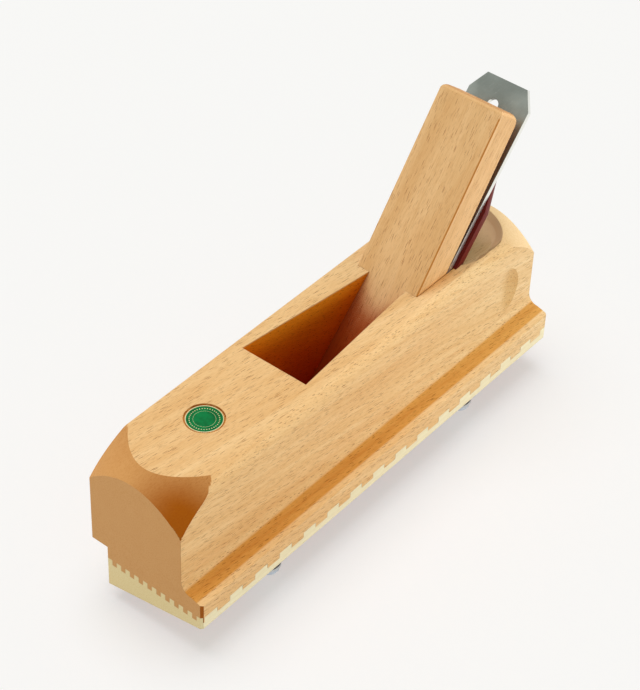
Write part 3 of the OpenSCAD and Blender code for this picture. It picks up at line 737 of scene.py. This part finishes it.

# %% [markdown]
# The wedge has a fine dark line of painted shade along its front edge on the grooved side. The line follows
# the distance from that edge, so its mask is measured in a frame that leans with the wedge. Down in the
# throat the wedge gets the throat's painted red shade. That tint depends on how shut in a place is, so most
# of it fades when the wedge is lifted out. The sole's long sides are planed smooth and paler than its ends.

# %% Painted shade on the wedge, and pale sides for the sole
WEDGE_ABOVE = 99.1
WEDGE_REACH = 70.0
WEDGE_SHUT_GAIN = 1.6
WEDGE_SHADE_TINT = (0.50, 0.15, 0.03)
LINE_WIDTH = (0.35, 1.0)
LINE_END = (WEDGE_ABOVE - 5.0, WEDGE_ABOVE - 3.5)
EDGE_LINE_SHADE = colour(176, 106, 20)
LINE_SHARE = 0.85
SOLE_SIDE = (0.8, 0.95, 0.0, 0.35)
SOLE_SIDE_COLOUR = colour(240, 234, 212)


def paint_wedge_root_shade(tree, base, in_mm, cut):
    """Paints shade on the wedge where it is shut in by the throat."""
    shut_in = place_group(tree, painted_hollow_shade, {"Reach": WEDGE_REACH * MM})["Edge"]
    stronger = calc(tree, "MULTIPLY", shut_in, WEDGE_SHUT_GAIN, clamp=True)
    below_rim = calc(tree, "LESS_THAN", parts_of(tree, in_mm)[2], THROAT_RIM)
    return tinted(tree, base, product(tree, stronger, below_rim), WEDGE_SHADE_TINT)


def paint_wedge_edge_shade(tree, base, in_mm, cut):
    """Paints a thin dark line of shade along the wedge's front edge on the grooved side."""
    across, along, out = leaning_place(tree, in_mm, WEDGE_ROOT, WEDGE_SLOPE)
    from_edge = diagonal(tree, calc(tree, "SUBTRACT", across, WEDGE_HALF), out)
    line = fade_between(tree, from_edge, *LINE_WIDTH)
    below_top = fade_between(tree, along, *LINE_END)
    return mix_colours(tree, product(tree, line, below_top, LINE_SHARE), base, EDGE_LINE_SHADE)


def pale_sole_sides(tree, base, in_mm, cut):
    """Pales the sole's long sides."""
    sideways = calc(tree, "ABSOLUTE", facing(tree)[0])
    return mix_colours(tree, step_between(tree, sideways, *SOLE_SIDE), base, SOLE_SIDE_COLOUR)


print("the wedge's line ends", round(LINE_END[1], 1), "mm up the slope")

# %% [markdown]
# Now the four woods get their values. The body is oiled beech with strong flecks and hardly any gloss, the
# sole is hornbeam, which is paler and almost without flecks, and the wedge is beech with its grain up the
# slope. The fence is kept a little darker, and the painted shade in its hollow places is kept mild.

# %% Finishes of the four wooden pieces
BODY_GRAIN_FALL = math.radians(-10.0)
BODY_GRAIN_SKEW = math.radians(8.2)

body_beech = wood_finish("body beech", {
    "pale": colour(230, 192, 142),
    "dark": colour(223, 180, 127),
    "fleck": colour(132, 78, 32),
    "flecks": 1.0,
    "slant": (0.70, 0.53, 0.36),
    "end": (0.635, 0.505, 0.375),
    "gloss": 0.1,
    "end_tints_fade_to_heel": True,
}, slope=BODY_GRAIN_FALL, skew=BODY_GRAIN_SKEW, hollow_where=in_throat, retouch=(
    paint_flange_shade, paint_toe_corner_shade, paint_light_towards_heel, paint_palm_light_and_groove_shade, paint_throat_shade, darken_guard,
))
sole_hornbeam = wood_finish("sole hornbeam", {
    "pale": colour(231, 219, 181),
    "dark": colour(225, 210, 167),
    "fleck": colour(206, 182, 136),
    "flecks": 0.3,
    "slant": (0.96, 0.93, 0.86),
    "end": (0.80, 0.74, 0.62),
}, pith=(30.0, 0.0, -140.0), retouch=(pale_sole_sides,))
wedge_beech = wood_finish("wedge beech", {
    "pale": colour(226, 184, 134),
    "dark": colour(216, 172, 120),
    "fleck": colour(140, 84, 40),
    "slant": (0.98, 0.95, 0.9),
}, grain=tuple(ALONG_WEDGE), slope=WEDGE_SLOPE, pith=(48.0, 0.0, -190.0), retouch=(
    paint_wedge_root_shade, paint_wedge_edge_shade,
))
fence_beech = wood_finish("fence beech", {
    "pale": colour(226, 184, 130),
    "dark": colour(212, 164, 108),
    "fleck": colour(128, 76, 34),
    "hollow": (0.92, 0.86, 0.78),
    "deep": (0.84, 0.74, 0.62),
}, pith=(70.0, 40.0, -60.0))
print("woods:", [item.name for item in (body_beech, sole_hornbeam, wedge_beech, fence_beech)])

# %% [markdown]
# ## Metals
# The iron is ground tool steel with fine marks along its length and a few stray scratches. The other fittings
# are plated sheet and turned brass. All of them show marks that are long in one direction, so one group
# stretches a noise by three scales, and each metal chooses where it is long. A scratch is where another noise
# passes through its middle value, which happens along thin winding lines.

# %% Group: fine grinding marks
ALONG_Y = (4.0, 0.15, 4.0)
MARK_DETAIL = 4.0
SCRATCH_ANGLE = 0.5
SCRATCH_NOISE = {"scale": (0.9, 0.05, 0.2), "detail": 2.0}
SCRATCH_WIDTH = 0.004
MIDDLE = 0.5
CLOUD_NOISE = {"Scale": 0.07, "Detail": 4.0}


def build_grinding():
    """Marks runs along the direction of Stretch. Scratches is 1 on a few fine lines. Cloud changes slowly."""
    inputs = (("Place", "NodeSocketVector", None), ("Stretch", "NodeSocketVector", ALONG_Y))
    outputs = [(name, "NodeSocketFloat") for name in ("Marks", "Scratches", "Cloud")]
    tree, given, made = new_group("grinding marks", inputs, outputs)
    place = given["Place"]
    feed(tree, made["Marks"], stretched_noise(tree, place, given["Stretch"], MARK_DETAIL))
    askew = {"Vector": place, "Angle": SCRATCH_ANGLE}
    askew = add_node(tree, "ShaderNodeVectorRotate", askew, rotation_type="Z_AXIS").outputs[0]
    lines = stretched_noise(tree, askew, **SCRATCH_NOISE)
    from_middle = calc(tree, "ABSOLUTE", calc(tree, "SUBTRACT", lines, MIDDLE))
    feed(tree, made["Scratches"], fade_between(tree, from_middle, 0.0, SCRATCH_WIDTH))
    cloud = add_node(tree, "ShaderNodeTexNoise", {"Vector": place, **CLOUD_NOISE})
    feed(tree, made["Cloud"], cloud.outputs[0])
    return tree


grinding = build_grinding()
print("grinding group:", sockets_of(grinding))

# %% [markdown]
# A bare metal has almost no colour of its own apart from the tint of its reflections. So the recipe mixes two
# near tones with the slow cloud, lays the scratches and the rubbed edges over them in a bright tone, and lets
# the marks drive the roughness. The iron's narrow side edges are freshly ground and brighter than its face.

# %% Recipe for a metal finish
METAL_EDGE = 0.15
CLOUD_SWING = (0.3, 0.7)
SCRATCH_COLOUR = colour(225, 228, 226)
RUBBED_COLOUR = colour(232, 234, 230)
RUBBED_SHARE = 0.6
GROUND_SIDE = (0.7, 0.9)
GROUND_COLOUR = colour(246, 246, 240)
MARK_ROUGHNESS = 0.2
METAL_BUMP = {"strength": 0.15, "depth": 0.02}


def metal_finish(name, dark, light, roughness, slope=0.0, stretch=ALONG_Y, scratch=0.3, bright_sides=False):
    """A bare or plated metal with its grinding marks along the slope."""
    material, tree, shader = start_material(name)
    place = turned(tree, place_in_mm(tree), (-slope, 0.0, 0.0))
    ground = place_group(tree, grinding, {"Place": place, "Stretch": stretch})
    edges = place_group(tree, rubbed_edges, {"Radius": METAL_EDGE * MM})
    base = mix_colours(tree, step_between(tree, ground["Cloud"], *CLOUD_SWING), dark, light)
    base = mix_colours(tree, product(tree, ground["Scratches"], scratch), base, SCRATCH_COLOUR)
    base = mix_colours(tree, product(tree, edges["Edge"], RUBBED_SHARE), base, RUBBED_COLOUR)
    if bright_sides:
        sideways = calc(tree, "ABSOLUTE", facing(tree)[0])
        base = mix_colours(tree, step_between(tree, sideways, *GROUND_SIDE), base, GROUND_COLOUR)
    feed(tree, shader.inputs["Base Color"], base)
    shader.inputs["Metallic"].default_value = 1.0
    least = roughness - MARK_ROUGHNESS / 2
    feed(tree, shader.inputs["Roughness"], calc(tree, "MULTIPLY_ADD", ground["Marks"], MARK_ROUGHNESS, least))
    add_bump(tree, shader, ground["Marks"], normal=edges["Normal"], **METAL_BUMP)
    return material


print("metal recipe ready")

# %% [markdown]
# The stretch says along which axis a metal's marks are long. The iron's run up its slope, the nicker's and
# the brass fittings' stand upright, the plates' run across, and the screws and the badge show no direction.
# Zinc is a little blue, brass is yellow, and the badge's gold is much paler than brass.

# %% Finishes of the metal pieces
ALONG_X = (0.2, 3.0, 3.0)
ALONG_Z = (3.0, 3.0, 0.3)
UPRIGHT = (4.0, 4.0, 0.15)
EVEN = (3.0, 3.0, 3.0)

iron_steel = metal_finish("iron steel", colour(140, 146, 142), colour(164, 170, 166), 0.42,
                          slope=BED_SLOPE, bright_sides=True)
nicker_steel = metal_finish("nicker steel", colour(140, 143, 142), colour(164, 166, 165), 0.38,
                            stretch=UPRIGHT)
plate_steel = metal_finish("plated sheet steel", colour(182, 186, 188), colour(204, 207, 208), 0.34,
                           stretch=ALONG_X)
screw_steel = metal_finish("zinc plated steel", colour(176, 188, 200), colour(204, 212, 220), 0.3,
                           stretch=EVEN, scratch=0.1)
turned_brass = metal_finish("turned brass", colour(196, 158, 84), colour(216, 182, 108), 0.32,
                            stretch=ALONG_Z, scratch=0.1)
badge_gold = metal_finish("badge gold", colour(244, 230, 172), colour(252, 242, 200), 0.28,
                          stretch=EVEN, scratch=0.05)
metals = (iron_steel, nicker_steel, plate_steel, screw_steel, turned_brass, badge_gold)
print("metals:", [item.name for item in metals])

# %% [markdown]
# The badge's plate is green enamel, a coat of glass that was melted on. A single flat green would look like
# paper, because real enamel has pooled a little unevenly. A fine cloud therefore moves its colour, its
# roughness and a very low bump together.

# %% Finish of the badge's enamel
ENAMEL_NOISE = {"Scale": 260.0, "Detail": 3.0}
ENAMEL_DARK = colour(0, 92, 44)
ENAMEL_LIGHT = colour(0, 116, 60)
ENAMEL_GLOSS = 0.12
ENAMEL_ROUGHNESS = 0.3
ENAMEL_ROUGHNESS_SWING = 0.1
ENAMEL_BUMP = {"strength": 0.1, "depth": 0.02}


def enamel_finish():
    """Deep green enamel with a faint unevenness."""
    material, tree, shader = start_material("green enamel")
    place = add_node(tree, "ShaderNodeTexCoord").outputs["Object"]
    cloud = add_node(tree, "ShaderNodeTexNoise", {"Vector": place, **ENAMEL_NOISE}).outputs[0]
    base = mix_colours(tree, step_between(tree, cloud, *CLOUD_SWING), ENAMEL_DARK, ENAMEL_LIGHT)
    feed(tree, shader.inputs["Base Color"], base)
    roughness = calc(tree, "MULTIPLY_ADD", cloud, ENAMEL_ROUGHNESS_SWING, ENAMEL_ROUGHNESS)
    feed(tree, shader.inputs["Roughness"], roughness)
    shader.inputs["Specular IOR Level"].default_value = ENAMEL_GLOSS
    add_bump(tree, shader, cloud, **ENAMEL_BUMP)
    return material


green_enamel = enamel_finish()
print("enamel ready:", green_enamel.name)

# %% [markdown]
# ## Solid pieces with smooth faces
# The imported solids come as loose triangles, so a curved face would show its facets. Subdividing them would
# only give more of the same facets. A copy is merged at its corners and shaded smooth up to a given angle
# instead, and the copy then stands for the solid. Where a flat face runs into a round one, its big triangles
# must not pick up the tilt of the small ones, so the normals are weighted by area, and a face that looks
# straight along an axis keeps its own. Small pieces also get a real bevel, which catches the light.

# %% Helpers for copies of the solids
WELD = 0.002
SAME_FACE = math.radians(0.3)


def fresh_object(name, mesh):
    """Links a new object that holds the mesh."""
    piece = bpy.data.objects.new(name, mesh)
    bpy.context.scene.collection.objects.link(piece)
    return piece


def merged_copy(node, name):
    """A copy of a node's mesh with its corners joined."""
    work = bmesh.new()
    work.from_mesh(nodes[node].data)
    bmesh.ops.remove_doubles(work, verts=work.verts, dist=WELD * MM)
    mesh = bpy.data.meshes.new(name)
    work.to_mesh(mesh)
    work.free()
    return fresh_object(name, mesh)


def apply_modifiers(piece):
    """Turns a piece's modifiers into plain mesh."""
    graph = bpy.context.evaluated_depsgraph_get()
    mesh = bpy.data.meshes.new_from_object(piece.evaluated_get(graph))
    piece.modifiers.clear()
    piece.data = mesh


def flat_faces_whole(mesh):
    """Joins the triangles of each flat face, so that a bevel sees only true edges."""
    work = bmesh.new()
    work.from_mesh(mesh)
    bmesh.ops.dissolve_limit(work, angle_limit=SAME_FACE, verts=work.verts, edges=work.edges)
    work.to_mesh(mesh)
    work.free()


print("corners closer than", WELD, "mm are joined")

# %% [markdown]
# A bevel is real geometry, so it also shows in the outline, and it goes on before the smooth shading. Every
# piece then gets the same treatment by one function, which also says for which node it stands, on which body
# it rides and which finish it takes.

# %% Helpers for soft edges and smooth shading
STRAIGHT = 0.99999
BY_AREA = 80
TRUE_EDGE = math.radians(28.0)
BEVEL_SEGMENTS = 2


def soften_edges(piece, width):
    """Bevels every true edge by so many millimetres."""
    flat_faces_whole(piece.data)
    soften = piece.modifiers.new("soft edges", "BEVEL")
    soften.width = width * MM
    soften.segments = BEVEL_SEGMENTS
    soften.limit_method = "ANGLE"
    soften.angle_limit = TRUE_EDGE
    soften.use_clamp_overlap = True
    soften.miter_outer = "MITER_ARC"
    apply_modifiers(piece)


def keep_flat_faces_flat(mesh):
    """Gives each face that looks straight along an axis its own normal at all its corners."""
    normals = [Vector(corner.vector) for corner in mesh.corner_normals]
    for face in mesh.polygons:
        if max(abs(part) for part in face.normal) > STRAIGHT:
            for corner in face.loop_indices:
                normals[corner] = face.normal.copy()
    mesh.normals_split_custom_set(normals)


def shade_to_angle(piece, degrees):
    """Smooth shading weighted by area, with sharp edges where faces meet at more than the angle."""
    piece.data.shade_smooth()
    piece.data.set_sharp_from_angle(angle=math.radians(degrees))
    weigh = piece.modifiers.new("weighted normals", "WEIGHTED_NORMAL")
    weigh.keep_sharp = True
    weigh.weight = BY_AREA
    apply_modifiers(piece)
    keep_flat_faces_flat(piece.data)


def dress(node, name, body, material, bevel=0.0, degrees=20.0):
    """Makes the smooth copy that stands for a node, gives it its finish and lets it ride."""
    piece = merged_copy(node, name)
    if bevel > 0.0:
        soften_edges(piece, bevel)
    piece.data.materials.clear()
    piece.data.materials.append(material)
    shade_to_angle(piece, degrees)
    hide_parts(node)
    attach(piece, body)
    print(name, "has", len(piece.data.polygons), "faces")


print("edges of more than", round(math.degrees(TRUE_EDGE)), "degrees are bevelled")

# %% [markdown]
# The body's roundings are already in the solid, and a bevel would open the fine joint between the body and
# the sole, so these two get none. The body's bowed ends run into flat faces at low angles, where smooth
# shading would leave dark smears, so its limit is lower. The wedge and the fence get the half millimetre that
# a maker takes off every edge.

# %% Dress the body, the sole, the wedge, the iron and the fence
dress("body", "plane_stock", "plane_body", body_beech, degrees=12.0)
dress("sole", "plane_sole", "plane_body", sole_hornbeam)
dress("wedge", "long_wedge", "wedge", wedge_beech, bevel=0.5)
dress("iron", "plane_iron", "iron", iron_steel, bevel=0.15)
dress("fence", "fence_strip", "fence", fence_beech, bevel=0.5)

# %% [markdown]
# The fittings are small turned or stamped parts: the badge, the fence's arms, and the screws, washers and
# threaded inserts that clamp the fence, the nicker and the depth stop. One row of the table is one fitting:
# its node, its piece, the body that it rides on, its finish, its slot and the width of its bevel. The inserts
# lie in the wood with only a thin ring to be seen, so they get no bevel.

# %% Dress the small fittings
FITTINGS = (
    ("badge_disc", "badge_plate", "plane_body", green_enamel, "badge_green", 0.1),
    ("badge_rim", "badge_ring", "plane_body", badge_gold, "badge_gold", 0.15),
    ("fence_arms", "slotted_arms", "fence", plate_steel, "plate_steel", 0.15),
    ("fence_arm_screws", "arm_screws", "fence", turned_brass, "brass_parts", 0.05),
    ("fence_screw_toe", "toe_clamp_screw", "fence_screw_toe", screw_steel, "screw_steel", 0.2),
    ("fence_screw_heel", "heel_clamp_screw", "fence_screw_heel", screw_steel, "screw_steel", 0.2),
    ("fence_washers", "clamp_washers", "plane_body", plate_steel, "plate_steel", 0.12),
    ("fence_inserts", "clamp_inserts", "plane_body", turned_brass, "brass_parts", 0.0),
    ("nicker", "scoring_spur", "nicker", nicker_steel, "nicker_steel", 0.1),
    ("nicker_screw", "spur_screw", "nicker_screw", screw_steel, "screw_steel", 0.2),
    ("nicker_washer", "spur_washer", "plane_body", plate_steel, "plate_steel", 0.12),
    ("nicker_insert", "spur_insert", "plane_body", turned_brass, "brass_parts", 0.0),
    ("depth_stop", "depth_stop_plate", "depth_stop", plate_steel, "plate_steel", 0.15),
    ("depth_stop_screw", "stop_screw", "depth_stop_screw", screw_steel, "screw_steel", 0.2),
    ("depth_stop_washer", "stop_washer", "plane_body", plate_steel, "plate_steel", 0.12),
    ("depth_stop_insert", "stop_insert", "plane_body", turned_brass, "brass_parts", 0.0),
)
for node, name, body, material, slot, bevel in FITTINGS:
    dress(node, name, body, material, bevel=bevel)
print("fittings dressed:", len(FITTINGS))

# %% [markdown]
# ## The badge's ornament
# A stamped badge has a pattern on its enamel. This one is plain on purpose: a ring of small gold beads around
# a thin gold line. The beads are one shape repeated on a circle, so Geometry Nodes sets them and takes their
# number and sizes as inputs. Copies placed by a loop would look the same, but the tree keeps its sizes
# together and can be changed by hand.

# %% Geometry Nodes for a ring of beads around a line
BEAD_SOCKETS = (
    ("Beads", "NodeSocketInt", 36),
    ("Bead Ring", "NodeSocketFloat", 7.0 * MM),
    ("Bead Size", "NodeSocketFloat", 0.34 * MM),
    ("Line Ring", "NodeSocketFloat", 5.3 * MM),
    ("Line Size", "NodeSocketFloat", 0.16 * MM),
)
BEAD_ROUNDNESS = 2
LINE_STEPS = 96
WIRE_STEPS = 8


def set_beads(tree, given):
    """One round bead on each point of a circle."""
    circle = {"Vertices": given["Beads"], "Radius": given["Bead Ring"]}
    circle = add_node(tree, "GeometryNodeMeshCircle", circle).outputs[0]
    bead = {"Radius": given["Bead Size"], "Subdivisions": BEAD_ROUNDNESS}
    bead = add_node(tree, "GeometryNodeMeshIcoSphere", bead).outputs[0]
    return add_node(tree, "GeometryNodeInstanceOnPoints", {"Points": circle, "Instance": bead}).outputs[0]


def draw_line(tree, given):
    """A thin round wire bent to a circle."""
    path = {"Resolution": LINE_STEPS, "Radius": given["Line Ring"]}
    path = add_node(tree, "GeometryNodeCurvePrimitiveCircle", path).outputs[0]
    wire = {"Resolution": WIRE_STEPS, "Radius": given["Line Size"]}
    wire = add_node(tree, "GeometryNodeCurvePrimitiveCircle", wire).outputs[0]
    return add_node(tree, "GeometryNodeCurveToMesh", {"Curve": path, "Profile Curve": wire}).outputs[0]


def build_bead_ring(material):
    """A ring of beads around a thin round line, both flat on the ground plane."""
    tree = bpy.data.node_groups.new("bead ring", "GeometryNodeTree")
    tree.interface.new_socket("Geometry", in_out="OUTPUT", socket_type="NodeSocketGeometry")
    for name, kind, value in BEAD_SOCKETS:
        tree.interface.new_socket(name, in_out="INPUT", socket_type=kind).default_value = value
    given = tree.nodes.new("NodeGroupInput").outputs
    made = tree.nodes.new("NodeGroupOutput").inputs
    both = tree.nodes.new("GeometryNodeJoinGeometry")
    tree.links.new(set_beads(tree, given), both.inputs[0])
    tree.links.new(draw_line(tree, given), both.inputs[0])
    real = add_node(tree, "GeometryNodeRealizeInstances", {0: both.outputs[0]})
    finished = add_node(tree, "GeometryNodeSetMaterial", {"Geometry": real.outputs[0], "Material": material})
    feed(tree, made[0], finished.outputs[0])
    return tree


bead_ring = build_bead_ring(badge_gold)
print("bead ring:", sockets_of(bead_ring))

# %% [markdown]
# The tree runs as a modifier on an empty mesh. Its inputs are set by their identifiers, the result is made a
# plain mesh, and the mesh is then moved to the enamel's face, a little sunk so that each bead is stamped in.

# %% Set the ornament on the badge
BEAD_SUNK = 0.14 * MM
OPPOSITE_CORNERS = (0, 6)


def make_badge_ornament():
    """Sets the ring of beads on the badge's enamel."""
    enamel = nodes["badge_disc"]
    low, high = (enamel.matrix_world @ Vector(enamel.bound_box[corner]) for corner in OPPOSITE_CORNERS)
    middle = (low + high) / 2
    piece = fresh_object("badge_beads", bpy.data.meshes.new("badge_beads"))
    modifier = piece.modifiers.new("bead ring", "NODES")
    modifier.node_group = bead_ring
    for item in bead_ring.interface.items_tree:
        if item.in_out == "INPUT":
            modifier[item.identifier] = item.default_value
    apply_modifiers(piece)
    piece.data.transform(Matrix.Translation((middle.x, middle.y, high.z - BEAD_SUNK)))
    piece.data.shade_smooth()
    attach(piece, "plane_body")
    print("badge_beads has", len(piece.data.polygons), "faces")


make_badge_ornament()

# %% [markdown]
# ## Floor
# The plane stands on a white sweep. A lamp strong enough to make a floor pure white would also bleach the
# wood, so the floor is pale, and for camera and glossy rays a part of it is plain white light. It still takes
# the soft shadow with the rest.

# %% Make the floor
FLOOR_HALF = 6.0
FLOOR_GLOW = 0.5
FLOOR_ROUGHNESS = 0.9
FLOOR_COLOUR = colour(251, 249, 252)
WHITE = colour(253, 253, 253)


def floor_finish():
    """A matt pale floor that is partly plain white to the camera and in reflections."""
    material, tree, shader = start_material("studio white")
    shader.inputs["Base Color"].default_value = FLOOR_COLOUR
    shader.inputs["Roughness"].default_value = FLOOR_ROUGHNESS
    shader.inputs["Specular IOR Level"].default_value = 0.0
    glow = add_node(tree, "ShaderNodeEmission", {"Color": WHITE, "Strength": 1.0})
    rays = add_node(tree, "ShaderNodeLightPath").outputs
    seen = calc(tree, "MAXIMUM", rays["Is Camera Ray"], rays["Is Glossy Ray"])
    share = product(tree, seen, FLOOR_GLOW)
    blend = add_node(tree, "ShaderNodeMixShader", {0: share, 1: shader.outputs[0], 2: glow.outputs[0]})
    feed(tree, tree.nodes["Material Output"].inputs["Surface"], blend.outputs[0])
    return material


def make_floor():
    """A wide plane at the height of the fence's underside."""
    mesh = bpy.data.meshes.new("studio_floor")
    sides = ((-1, -1), (1, -1), (1, 1), (-1, 1))
    corners = [(FLOOR_HALF * x, FLOOR_HALF * y, 0.0) for x, y in sides]
    mesh.from_pydata(corners, [], [(0, 1, 2, 3)])
    mesh.materials.append(floor_finish())
    floor = fresh_object("studio_floor", mesh)
    return floor


floor = make_floor()
print("floor reaches", FLOOR_HALF, "m each way")

# %% [markdown]
# ## Light
# The photograph was taken under one large soft light, with white all round. Here an even sky and a broad key
# share the light about equally. The sky is faintly yellow-green, which makes the shadows a little olive as in
# the photograph, while the camera and the reflections see it white. The key stands almost overhead, a little
# to the left. Three round white cards stand beside the heel, before the toe and behind the heel, and lift the
# faces that look that way. Cards would wash out the shadow beside the plane, so they leave the floor alone.

# %% Fill the world with even light
SKY = 0.45
MIRRORED = 0.75
SKY_TINT = colour(247, 255, 228)


def fill_world():
    """Even, faintly tinted daylight from all round, with a white background for the camera."""
    world = bpy.data.worlds.new("studio")
    bpy.context.scene.world = world
    world.use_nodes = True
    tree = world.node_tree
    tree.nodes.clear()
    rays = add_node(tree, "ShaderNodeLightPath").outputs
    mirrored = calc(tree, "MAXIMUM", rays["Is Glossy Ray"], rays["Is Transmission Ray"])
    seen = calc(tree, "MAXIMUM", rays["Is Camera Ray"], product(tree, mirrored, MIRRORED))
    strength = calc(tree, "MULTIPLY_ADD", seen, 1.0 - SKY, SKY)
    tint = mix_colours(tree, seen, SKY_TINT, WHITE)
    sky = add_node(tree, "ShaderNodeBackground", {"Color": tint, "Strength": strength})
    add_node(tree, "ShaderNodeOutputWorld", {"Surface": sky.outputs[0]})


fill_world()
print("sky strength:", SKY)

# %% [markdown]
# The key is a sun with a wide angle, so its shadows are soft and the same size everywhere. The lamps are kept
# out of reflections, since the metal should mirror the white studio and not a lamp's disk.

# %% Light the scene
KEY_TOWARDS = (-0.17, 0.06, 0.98)
KEY_STRENGTH = 1.62
KEY_SPREAD = math.radians(44.0)
KEY_TINT = (1.0, 0.96, 1.04)
CARD_TINT = (1.0, 0.99, 0.97)
CARD_SIZE = 0.5
CARDS = (
    ("side_card", Vector((0.66, 0.30, 0.14)), 2.9),
    ("front_card", Vector((-0.22, -0.66, 0.26)), 1.7),
    ("back_card", Vector((0.10, 0.70, 0.46)), 1.6),
)


def add_lamp(name, kind, towards, tint, energy):
    """A lamp that shines from the direction given and leaves no highlight."""
    data = bpy.data.lights.new(name, kind)
    data.color = tint
    data.energy = energy
    lamp = bpy.data.objects.new(name, data)
    bpy.context.scene.collection.objects.link(lamp)
    lamp.rotation_euler = Vector(towards).to_track_quat("Z", "Y").to_euler()
    lamp.visible_glossy = False
    return lamp


def leave_out(lamp, thing):
    """Keeps a lamp's light off one object."""
    spared = bpy.data.collections.new(lamp.name + "_spares")
    spared.objects.link(thing)
    lamp.light_linking.receiver_collection = spared
    spared.collection_objects[0].light_linking.link_state = "EXCLUDE"


key = add_lamp("key_light", "SUN", KEY_TOWARDS, KEY_TINT, KEY_STRENGTH)
key.data.angle = KEY_SPREAD
for name, place, power in CARDS:
    card = add_lamp(name, "AREA", place, CARD_TINT, power)
    card.location = place
    card.data.shape = "DISK"
    card.data.size = CARD_SIZE
    leave_out(card, floor)
print("lamps:", key.name, [name for name, place, power in CARDS])

# %% [markdown]
# ## Colours as they are
# Blender's usual view transform softens strong colours like film does. The finishes above were written as
# plain sRGB colours, so the Standard transform shows them as they are.

# %% Show plain colours
bpy.context.scene.view_settings.view_transform = "Standard"
print("view transform:", bpy.context.scene.view_settings.view_transform)
